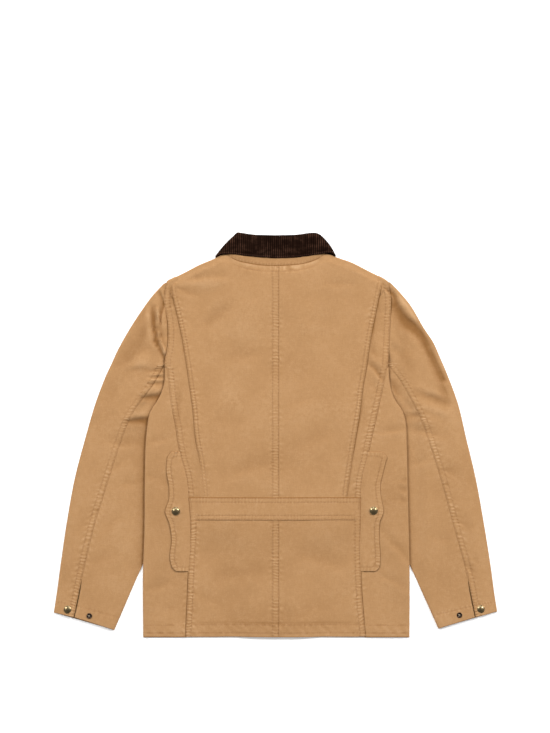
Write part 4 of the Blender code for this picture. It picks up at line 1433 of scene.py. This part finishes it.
def makeUnderSleeve(name, rows, level):
    # it goes in beneath the lapped seam, and parts from it at the vent
    side = sides[name]
    mirror = np.array([side, 1.0])
    nearBody, atArm = sleeve["armRise"][name][2:]
    lower = rows.stations[:, 0] >= sleeve["underFrom"] - 0.35
    toCuff, across = rows.toCuff[lower], rows.across[lower]
    shut = 1 - eased((rows.stations[lower] - sleeve["vent"] + 0.1) / 0.3)
    tuck = seam["tuckUnder"] * shut
    marks = {}

    def top(x, y, fromStart, fromEdge):
        height, folds = level(x, y)
        past = fromStart - tuck
        along = toCuff + 0 * fromStart
        seams = tuckedUnder(past, nearBody + atArm * eased((y - 440) / 60))
        seams = (seams + besideSeam(np.maximum(past, 0), along, 73 + side)) * shut
        seams = seams + cuffBand(along, fromStart, side) * eased(fromEdge / 6)
        beside = np.maximum(np.abs(x) - sideEdge(side, y), 0)
        # painted shadow on the sleeve beside the body's edge, cleared in part between 426 and 560 mm up
        shaded = 0.5 * hump(beside, 4) + sleeve["shade"][name] * hump(beside, 15)
        clearing = sleeve["clearBeside"] * eased((y - 426) / 14) * eased((560 - y) / 20)
        paintedShadow = mixed(shaded, 0.5 * hump(beside, 2), clearing) * eased((552 - y) / 20)
        marks["rubbedAndShaded"] = np.clip(wearAndShading(seams, folds) + tonePatches(x, y) - paintedShadow, -1, 1)
        return np.maximum(height + seams[0], sleeve["lowestUnder"])

    start = (rows.seamLine[lower] - across * (0.2 + rows.vent[lower])) * mirror
    start = start + (across * mirror) * tuck
    end = (hiddenEnd(rows, 0.62, 0.5)[lower] - across * 0.2) * mirror
    x, y, z, fromStart = foldedSheet(
        start, rows.inner[lower] * mirror, end, top, onSurface, tuckedLines, underStep=sleeve["underStep"]
    )
    rubbedAndShaded = padded(marks["rubbedAndShaded"], x)
    places = sewSheet(f"under_sleeve_{name}", x, y, np.maximum(z, 0), rubbedAndShaded)
    upper = places[:, : fromStart.shape[1]]
    outside = lambda line: np.abs(line[:, 0]) > sideEdge(side, 100) + 4
    stitchAlong(upper, toCuff + 0 * fromStart, [sleeve["cuffRow"]], outside)


print("sewing the sleeves")
for sideName in sides:
    rows, level = sleeveRows(sideName), sleeveLevel(sideName)
    makeTopSleeve(sideName, rows, level)
    makeUnderSleeve(sideName, rows, level)


# Belt and pocket flaps

snapSpots = {
    "flap_snap_left": (-194, 248),
    "flap_snap_right": (191, 249),
    "cuff_snap_left": (-404, 56),
    "cuff_snap_right": (399, 57),
    "cuff_stud_left": (-362.5, 44),
    "cuff_stud_right": (358, 45.5),
}
belt = {
    "low": 230.0,
    "high": 275.0,
    "wall": 1.5,
    "rows": (1.9, 9.6),
    "endRow": 3.4,
    "edgeShade": 1.0,
    "lines": [0, 0.4, 1.0, 1.9, 2.9, 4.6, 6.4, 8.2, 9.6, 11, 13],
}
flap = {
    "low": 130.0,
    "high": 364.0,
    "middle": 250.0,
    "wall": 1.7,
    "row": 9.2,
    "bulge": 0.7,
    "bulgeReach": 13.0,
    "innerLines": [0, 0.8, 2, 4, 6.5, 9],
    "outerLines": [0, 0.5, 1.1, 2.0, 3.4, 5.2, 7.2, 9.2, 10.6, 12.2],
}


def beltLevel(x, y):
    return centerLevel(x, y) - beltDip(x) + 0.4 + belt["wall"]


def makeBelt():
    def end(side):
        return lambda y: side * (sideBackSeam(side, y) - 0.4)

    x, y, fromLeft, fromRight, fromLow, fromHigh = panelGrid(
        1,
        end(-1),
        end(1),
        lambda x: belt["low"] + 0.5 * softNoise(x, 0 * x, 60, 8),
        lambda x: belt["high"] + 0.5 * softNoise(x, 0 * x, 60, 9),
        spread(edgeLines + [5.6, 8], edgeLines, 338, layout["alongStep"]),
        spread(belt["lines"], belt["lines"], 45, 3.0),
    )
    relief = 0.6 * crumple(x, y, 81)
    seams = rolled(fromLow, 1.3, 0.8) + rolled(fromHigh, 2.2, 1.3)
    for number, distance in enumerate((fromLow, fromHigh)):
        seams = seams + puckered(distance, x, 83 + number, 9.6, 0.3) * eased((24 - distance) / 8)
        for row in belt["rows"]:
            seams = seams + 0.9 * groove(distance, row) + 0.8 * beaded(distance, x, row, 85 + number)
    for distance in (fromLeft, fromRight):
        seams = seams + rolled(distance, 1.6, 0.9) + groove(distance, belt["endRow"])
    z = beltLevel(x, y) + relief + seams
    edges = hump(fromHigh, 1.3) + 0.5 * hump(np.minimum(fromLeft, fromRight), 1.2)
    rubbedAndShaded = np.clip(wearAndShading(both(seams), relief) - belt["edgeShade"] * edges, -1, 1)
    places = sewSheet("half_belt", x, y, z, rubbedAndShaded, "doubled")
    for row in belt["rows"]:
        stitchAlong(places, fromLow, [row])
        stitchAlong(places, fromHigh, [row])
    for distance in (fromLeft, fromRight):
        stitchAt(places, distance, [belt["endRow"]])


def makeFlap(name):
    side = sides[name]
    x, y, fromInner, fromOuter, fromLow, fromHigh = panelGrid(
        side,
        lambda y: side * (sideBackSeam(side, y) - 1.2),
        lambda y: side * (flapEdge(side, y) + 0.35 * softNoise(y, 0 * y, 14, 91)),
        lambda x: 0 * x + flap["low"],
        lambda x: 0 * x + flap["high"],
        spread(flap["innerLines"], flap["outerLines"], 38, 3.0),
        spread(edgeLines, edgeLines, 234, layout["alongStep"]),
    )
    spotX, spotY = snapSpots[f"flap_snap_{name}"]
    reach = flap["bulgeReach"]
    bulge = flap["bulge"] * np.exp(-(((x - spotX) / reach) ** 2 + ((y - spotY) / reach) ** 2))
    relief = 0.6 * crumple(x, y, 92) * (1 - bulge) + bulge
    # the distance in from the nearest free edge, rounded at the corners
    rim = -3.0 * np.log(sum(np.exp(-distance / 3.0) for distance in (fromOuter, fromLow, fromHigh)))
    upEdge = eased((np.minimum(fromLow, fromHigh) - fromOuter) / 8 + 0.5)
    seams = groove(rim, flap["row"])
    for share, along in ((upEdge, y), (1 - upEdge, x)):
        gathers = puckered(np.maximum(rim, 0), along, 93 + side, 8.6, 0.65)
        seams = seams + share * (gathers + beaded(rim, along, flap["row"], 95))
    for distance in (fromOuter, fromLow, fromHigh):
        seams = seams + rolled(distance, 1.6, 1.0)
    z = sideLevel(x, y) + 0.4 + flap["wall"] + relief + seams - 1.5 * eased(1 - fromInner / 8)
    rubbedAndShaded = wearAndShading(both(seams), relief)
    places = sewSheet(f"pocket_flap_{name}", x, y, z, rubbedAndShaded, "doubled")

    def upright(line):
        return (line[:, 1] > flap["low"] + 9) & (line[:, 1] < flap["high"] - 9)

    def across(line):
        out = side * line[:, 0]
        return (out > sideBackSeam(side, line[:, 1]) + 2) & (out < 206)

    stitchAt(places, rim, [flap["row"]], upright)
    stitchAlong(places, np.where(y > flap["middle"], fromHigh, 99), [flap["row"]], across)
    stitchAlong(places, np.where(y < flap["middle"], fromLow, 99), [flap["row"]], across)


print("sewing the belt and the flaps")
makeBelt()
for sideName in sides:
    makeFlap(sideName)


# Collar

collar = {
    "bandReach": 96.5,
    "reach": 117.0,
    "fold": 4.0,
    "wale": 3.8,
    "waleRise": 0.5,
    "napRise": 0.08,
    "edgeRow": 5.2,
    "endRise": 1.6,
    "seamShade": 1.0,
    "bandTuck": 2.6,
    "bandRow": 2.4,
    "bandShade": 0.16,
    "bandLines": [0, 1.2, 2.0, 2.6, 3.1, 3.7, 4.5, 5.7, 7.2, 9, 11.5, 14, 17],
    "leafLines": [0, 0.5, 1.2, 2.2, 3.4, 4.6, 5.6, 6.8],
    "hiddenEnd": 750.0,
    "endRows": 60,
    "endTurn": (20, 40, 60, 75, 85),
}


def bandLevel(x, y):
    seamHeight = topOfBack(x)
    atSeam = centerLevel(x, seamHeight) - 0.15
    return mixed(atSeam, laid["bandLevel"], eased((y - seamHeight - 1) / 12))


def makeNeckBand():
    x, y, fromLeft, fromRight, fromLow, fromHigh = panelGrid(
        1,
        lambda y: 0 * y - collar["bandReach"],
        lambda y: 0 * y + collar["bandReach"],
        lambda x: topOfBack(x) - collar["bandTuck"],
        lambda x: leafTop(sideOf(x), np.abs(x)) - 4.5,
        spread([0, 1], [0, 1], 184, 2.4),
        spread(collar["bandLines"], [0], 53, 8.0),
    )
    fromSeam = fromLow - collar["bandTuck"]
    relief = 0.35 * crumple(x, y, 95) * eased(fromHigh / 10)
    gathers = puckered(fromSeam, x, 96, 6.0, 0.5) * eased((12 - fromSeam) / 6) * eased(fromSeam / 2)
    seams = 0.6 * groove(fromSeam, collar["bandRow"]) + gathers
    z = bandLevel(x, y) + relief + seams - 1.1 * eased((0.6 - fromSeam) / 1.6)
    atSeam = hump(fromSeam - 0.2, 1.0) * eased((90 - np.abs(x)) / 8)
    rubbedAndShaded = wearAndShading(both(seams), relief) - collar["bandShade"] - collar["seamShade"] * atSeam
    places = sewSheet("neck_band", x, y, z, np.clip(rubbedAndShaded, -1, 1))
    stitchAlong(places, fromSeam, [collar["bandRow"]])


def waleWave(across):
    # rounded cords with narrow grooves between them
    wave = np.abs(np.sin(math.pi * across / collar["wale"]))
    return wave**0.55 - 0.6


def makeLeaf():
    reach = collar["reach"]
    columns = int(round(2 * reach / (collar["wale"] / 8)))
    across = np.linspace(-reach, reach, columns + 1)
    side, out, level = sideOf(across), np.abs(across), 0 * across
    (neckOut, neckHeight), (edgeOut, edgeHeight) = collarCorners["neckStart"], collarCorners["edgeStart"]
    slope = (edgeHeight - neckHeight) / (edgeOut - neckOut)
    atCorner = neckHeight + slope * (np.maximum(out, neckOut) - neckOut) + 1
    start = np.stack([across, leafEdge(side, out) + 0.35 * softNoise(across, level, 9, 97)], axis=1)
    edge = np.stack([across, leafTop(side, out) + 0.5 * softNoise(across, level, 26, 98)], axis=1)
    end = np.stack([across, mixed(collar["hiddenEnd"], atCorner, eased((out - 56) / 12))], axis=1)
    marks = {}

    def top(x, y, fromStart, fromEdge):
        wander = 0.5 * softNoise(0 * x + y, x, 60, 99)
        worn = mixed(0.7, 1.15, 0.5 + 0.5 * softNoise(x, y, 12, 101))
        wales = waleWave(x + wander) * collar["waleRise"] * worn
        nap = collar["napRise"] * softNoise(x, y * 0.6, 1.2, 103)
        wide = 0.45 * softNoise(x, y, 42, 104) + 0.2 * softNoise(x, y, 15, 105)
        edgeRoll = rolled(fromStart, 2.2, 1.6) + 0.35 * eased((6 - fromStart) / 3)
        edgeRoll = edgeRoll - 0.55 * hump(fromStart - collar["edgeRow"], 1.1)
        fade = eased(fromStart / 2.5) * eased((fromEdge + 1) / 3)
        atEnds = -1.2 * eased(1 - (reach - np.abs(x)) / 4)
        # the tone is darker in the middle of the leaf and a little paler on its left; along the lower edge it
        # follows the edge's shape, a painted highlight on its lip and painted shade on its roll and in its
        # stitch groove
        unevenTone = 0.25 * hump(x + 78, 26) - 0.5 * hump(x, 34)
        lipHighlight = 0.5 * hump(fromStart - 2.6, 1.4)
        marks["rubbedAndShaded"] = np.clip(0.6 * wide + 0.5 * edgeRoll + unevenTone + lipHighlight, -1, 1)
        rise = (wales + nap) * fade
        return laid["leafTopLevel"] + rise + wide * eased(fromEdge / 8) + edgeRoll + atEnds

    def under(x, y):
        return laid["standLevel"] * (1 - eased((np.abs(x) - 58) / 18))

    x, y, z, fromStart = foldedSheet(
        start, edge, end, top, under, collar["leafLines"], reach=collar["fold"], underStep=12.0, steps=5
    )
    sewSheet("collar_leaf", x, y, z, padded(marks["rubbedAndShaded"], x), "corduroy")


def makeCollarEnd(name):
    # a flat panel from the collar's edge in to the neck, where it turns up
    corners = {key: np.array(value, float) for key, value in collarCorners.items()}
    along = np.linspace(0, 1, collar["endRows"])
    neck = mixed(corners["neckStart"], corners["neckEnd"], along[:, None])
    edge = mixed(corners["edgeStart"], corners["point"], along[:, None])
    towards = neck - edge
    length = np.linalg.norm(towards, axis=1)[:, None]
    towards = (towards / length)[:, None, :]
    flat = edge[:, None, :] + towards * (length - layout["turn"])[:, :, None] * along[None, :, None]
    angles = np.radians(collar["endTurn"])
    turnAt = layout["turn"] * (1 - np.sin(angles))
    turned = neck[:, None, :] - towards * turnAt[None, :, None]
    spots = np.concatenate([flat, turned], axis=1)
    x, y = sides[name] * spots[..., 0], spots[..., 1]
    z = np.concatenate([0 * along, collar["endRise"] * (1 - np.cos(angles))])[None, :] + 0 * x
    sewSheet(f"collar_front_{name}", x, y, z, cloth="corduroy", faceUp=False)


print("sewing the collar")
makeNeckBand()
makeLeaf()
for sideName in sides:
    makeCollarEnd(sideName)


# Stitches

stitch = {
    "length": 2.3,
    "pitch": 3.2,
    "radius": 0.28,
    "sink": 0.1,
    "rings": ((-0.5, 0.12), (-0.28, 1.0), (0.28, 1.0), (0.5, 0.12)),  # place along it, and thickness
}


def stitchShape():
    # the points and faces of one stitch, a rounded lozenge of four rings with four corners each
    turns = np.radians([45, 135, 225, 315])
    points = []
    for along, wide in stitch["rings"]:
        radius = wide * stitch["radius"]
        points += [(along * stitch["length"], np.cos(turn) * radius, np.sin(turn) * radius) for turn in turns]
    faces = []
    for ring in (0, 4, 8):
        for corner in range(4):
            following = (corner + 1) % 4
            faces.append([ring + corner, ring + following, ring + 4 + following, ring + 4 + corner])
    return np.array(points), np.array(faces + [[3, 2, 1, 0], [12, 13, 14, 15]])


def stitchesOn(line, up, shape):
    # the points of all the stitches on one row, each lying along it
    run = np.concatenate([[0], np.cumsum(np.linalg.norm(np.diff(line, axis=0), axis=1))])
    centres = np.arange(stitch["pitch"] * 0.6, run[-1] - stitch["pitch"] * 0.4, stitch["pitch"])

    def read(at):
        return np.stack([np.interp(at, run, line[:, k]) for k in range(3)], axis=1)

    middle, along = read(centres), read(centres + 0.8) - read(centres - 0.8)
    length = np.linalg.norm(along, axis=1)
    middle, along = middle[length > 0.2], along[length > 0.2]
    along = along / np.linalg.norm(along, axis=1)[:, None]
    beside = np.cross(np.broadcast_to(np.array([0, 0, 1.0]) * up, along.shape), along)
    beside = beside / np.linalg.norm(beside, axis=1)[:, None]
    raised = np.cross(along, beside)
    points = (middle + raised * (stitch["radius"] - stitch["sink"]))[:, None, :]
    for number, direction in enumerate((along, beside, raised)):
        points = points + shape[None, :, number : number + 1] * direction[:, None, :]
    return points.reshape(-1, 3)


def sewStitches():
    # all the stitches are one mesh, as thread that lies just proud of the cloth
    shape, faces = stitchShape()
    points = np.concatenate([stitchesOn(line, up, shape) for line, up in stitchRows])
    points[:, 2] = np.maximum(points[:, 2], 0)
    count = len(points) // len(shape)
    allFaces = (faces[None] + len(shape) * np.arange(count)[:, None, None]).reshape(-1, 4)
    mesh = bpy.data.meshes.new("topstitching")
    mesh.from_pydata(placed(points).tolist(), [], allFaces.tolist())
    mesh.materials.append(thread)
    mesh.shade_smooth()
    piece = bpy.data.objects.new("topstitching", mesh)
    bpy.context.scene.collection.objects.link(piece)
    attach(piece, "root")
    print("stitches:", count)


print("stitching")
sewStitches()


# Snaps

snaps = {
    "capRadius": 8.0,
    "capHeight": 3.3,
    "studRadius": 5.4,
    "studHeight": 2.0,
    "postHeight": 0.42,  # of the stud's height, and where it starts
    "postBase": 0.52,
    "frontRadius": 7.5,
    "frontHeight": 1.3,
    "frontSpots": (70, 215, 360, 505, 640),
    "sides": 40,
    "tip": 0.02,
}


def turnedPiece(name, profile, x, y, z, finish="agedBrass"):
    # a turned piece: a circle, extruded and scaled ring by ring, from the bottom centre up
    clearSelection()
    radius, height = profile[0]
    bpy.ops.mesh.primitive_circle_add(
        vertices=snaps["sides"], radius=radius * 0.001, fill_type="TRIFAN", location=(0, 0, 0)
    )
    piece = bpy.context.active_object
    piece.name = name
    bpy.ops.object.mode_set(mode="EDIT")
    bpy.ops.mesh.select_all(action="DESELECT")
    bpy.ops.object.mode_set(mode="OBJECT")
    points = piece.data.vertices
    for point in points:
        point.select = math.hypot(*point.co[:2]) > radius * 0.0005
        point.co.z = height * 0.001
    for edge in piece.data.edges:
        edge.select = all(points[k].select for k in edge.vertices)
    bpy.ops.object.mode_set(mode="EDIT")
    bpy.ops.mesh.select_mode(type="EDGE")
    for wide, high in profile[1:]:
        bpy.ops.mesh.extrude_edges_move(TRANSFORM_OT_translate={"value": (0, 0, (high - height) * 0.001)})
        scale = max(wide, snaps["tip"]) / max(radius, snaps["tip"])
        bpy.ops.transform.resize(value=(scale, scale, 1), center_override=(0, 0, 0))
        radius, height = max(wide, snaps["tip"]), high
    bpy.ops.mesh.select_mode(type="VERT")
    bpy.ops.mesh.merge(type="CENTER")
    bpy.ops.mesh.select_all(action="SELECT")
    bpy.ops.mesh.normals_make_consistent(inside=False)
    bpy.ops.object.mode_set(mode="OBJECT")
    piece.location = placed((x, y, z))
    bpy.ops.object.transform_apply(location=True, rotation=True, scale=True)
    bpy.ops.object.shade_smooth_by_angle(angle=math.radians(40))
    piece.data.materials.append(brasses[finish])
    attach(piece, "root")
    return piece


def capProfile(radius, height):
    # flat back, rolled rim, a shallow groove and a domed top
    rim = [(0.95, 0), (1.0, 0.08), (1.0, 0.2), (0.96, 0.26)]
    rim = [(radius * wide, height * high) for wide, high in rim]
    edge = radius * 0.91
    ball = 1.25 * radius
    drop = ball - math.sqrt(ball**2 - edge**2)
    rise = 0.76 * height
    for share in (1.0, 0.93, 0.85, 0.75, 0.63, 0.5, 0.36, 0.2, 0.08, 0):
        fall = (ball - math.sqrt(ball**2 - (edge * share) ** 2)) / drop
        rim.append((edge * share, height * 0.24 + rise * (1 - fall)))
    return rim


def studProfile(radius, height):
    # a ring round a sunk middle
    rings = [
        (0.94, 0), (1.0, 0.2), (0.99, 0.6), (0.9, 0.9), (0.78, 1.0), (0.64, 0.9), (0.56, 0.62), (0.5, 0.5),
        (0.3, 0.5), (0, 0.5),
    ]
    return [(radius * wide, height * high) for wide, high in rings]


def postProfile(radius, height):
    return [(radius * 0.3, 0), (radius * 0.3, height * 0.8), (radius * 0.24, height * 0.95), (0, height)]


def heightsOf(node):
    # the lowest and the highest that a solid reaches, in millimetres
    heights = [corner[2] * 1000 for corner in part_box(node)]
    return min(heights), max(heights)


print("setting the snaps")
for node, (x, y) in snapSpots.items():
    base = heightsOf(node)[0]
    if "stud" in node:
        radius, height = snaps["studRadius"], snaps["studHeight"]
        piece = turnedPiece(node + "_turned", studProfile(radius, height), x, y, base, "darkBrass")
        post = postProfile(radius, snaps["postHeight"] * height)
        turnedPiece(node + "_post", post, x, y, base + snaps["postBase"] * height, "postBrass")
    else:
        cap = capProfile(snaps["capRadius"], snaps["capHeight"])
        piece = turnedPiece(node + "_turned", cap, x, y, base)
    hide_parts(node)
for number, height in enumerate(snaps["frontSpots"]):
    node = f"front_snap_{number + 1}"
    cap = capProfile(snaps["frontRadius"], snaps["frontHeight"])
    upsideDown = [(radius, -level) for radius, level in cap]
    piece = turnedPiece(node + "_turned", upsideDown, 0, height, heightsOf(node)[1])
    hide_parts(node)


# Floor, light and camera

studio = {
    "floorSize": 8.0,
    "floorDrop": 0.0002,
    "floor": (0.95, 0.95, 0.945, 1),
    "floorShade": (0.93, 0.93, 0.925, 1),
    "sky": 0.42,
    "skyTowardsCollar": 0.5,
    "skyEven": 1.12,
    "skyOverhead": -0.35,
    "keys": ((0.48, 52.0), (0.37, -54.0)),  # the light that each key gives the floor, and its turn
    "keyTilt": 54.0,
    "keySoftness": 16.0,
    "lampPlace": (0, 1.9, 1.6),
    "lampTilt": 50.0,
    "lampSize": 1.2,
    "lampPower": 24.0,
    "camera": (-0.001, 0.1332, 4.0),
    "frameHeight": 1.429,
}
paperLook = {
    "name": "whitePaper",
    "fixed": {
        "Roughness": 0.9,
        "Specular IOR Level": 0.1,
        "Emission Color": (1, 1, 1, 1),
        "Emission Strength": 0.25,  # the paper is lit a little from below too
    },
}


def layFloor():
    clearSelection()
    bpy.ops.mesh.primitive_plane_add(size=studio["floorSize"], location=(0, 0, -studio["floorDrop"]))
    floor = bpy.context.active_object
    floor.name = "paper_floor"
    bpy.ops.object.transform_apply(location=True, rotation=True, scale=True)
    finish, tree, shader = startMaterial(paperLook)
    tone = noiseNode(tree, objectPlace(tree), 3.0, 2.0)
    feed(shader["Base Color"], mixNode(tree, tone, studio["floorShade"], studio["floor"]))
    floor.data.materials.append(finish)


def lightRoom():
    # the room is brighter at the collar's end and darker straight above
    scene = bpy.context.scene
    scene.world = scene.world or bpy.data.worlds.new("studioLight")
    scene.world.use_nodes = True
    room = scene.world.node_tree
    x, y, z = splitPlace(room, addNode(room, "ShaderNodeTexCoord", "Generated"))
    strength = z * z * studio["skyOverhead"] + (y * studio["skyTowardsCollar"] + studio["skyEven"])
    background = room.nodes["Background"].inputs
    feed(background["Strength"], strength * studio["sky"])
    feed(background["Color"], (1, 1, 1, 1))


def setLamps():
    # the keys come from both sides of the collar's end, and a softbox lifts the shoulders
    tilt = math.radians(studio["keyTilt"])
    for number, (share, turn) in enumerate(studio["keys"]):
        turned = (-tilt, 0, -math.radians(turn))
        bpy.ops.object.light_add(type="SUN", location=(0, 3, 3), rotation=turned)
        key = bpy.context.active_object
        key.name = f"key_light_{number + 1}"
        key.data.angle = math.radians(studio["keySoftness"])
        key.data.energy = math.pi * share / math.cos(tilt)
    tilted = (-math.radians(studio["lampTilt"]), 0, 0)
    bpy.ops.object.light_add(type="AREA", location=studio["lampPlace"], rotation=tilted)
    lamp = bpy.context.active_object
    lamp.name = "shoulder_softbox"
    lamp.data.size = studio["lampSize"]
    lamp.data.energy = studio["lampPower"]


def setCamera():
    # straight above, as the photograph was taken
    bpy.ops.object.camera_add(location=studio["camera"], rotation=(0, 0, 0))
    camera = bpy.context.active_object
    camera.name = "photo_camera"
    camera.data.lens = camera.data.sensor_width * studio["camera"][2] / studio["frameHeight"]
    camera.data.dof.use_dof = False
    camera.data.clip_end = 50
    bpy.context.scene.camera = camera
    bpy.context.scene.view_settings.view_transform = "Standard"
    bpy.context.scene.view_settings.look = "None"


print("setting the studio")
layFloor()
lightRoom()
setLamps()
setCamera()
triangles = sum(len(face.vertices) - 2 for piece in made for face in piece.data.polygons)
print("triangles in the cloth:", triangles)
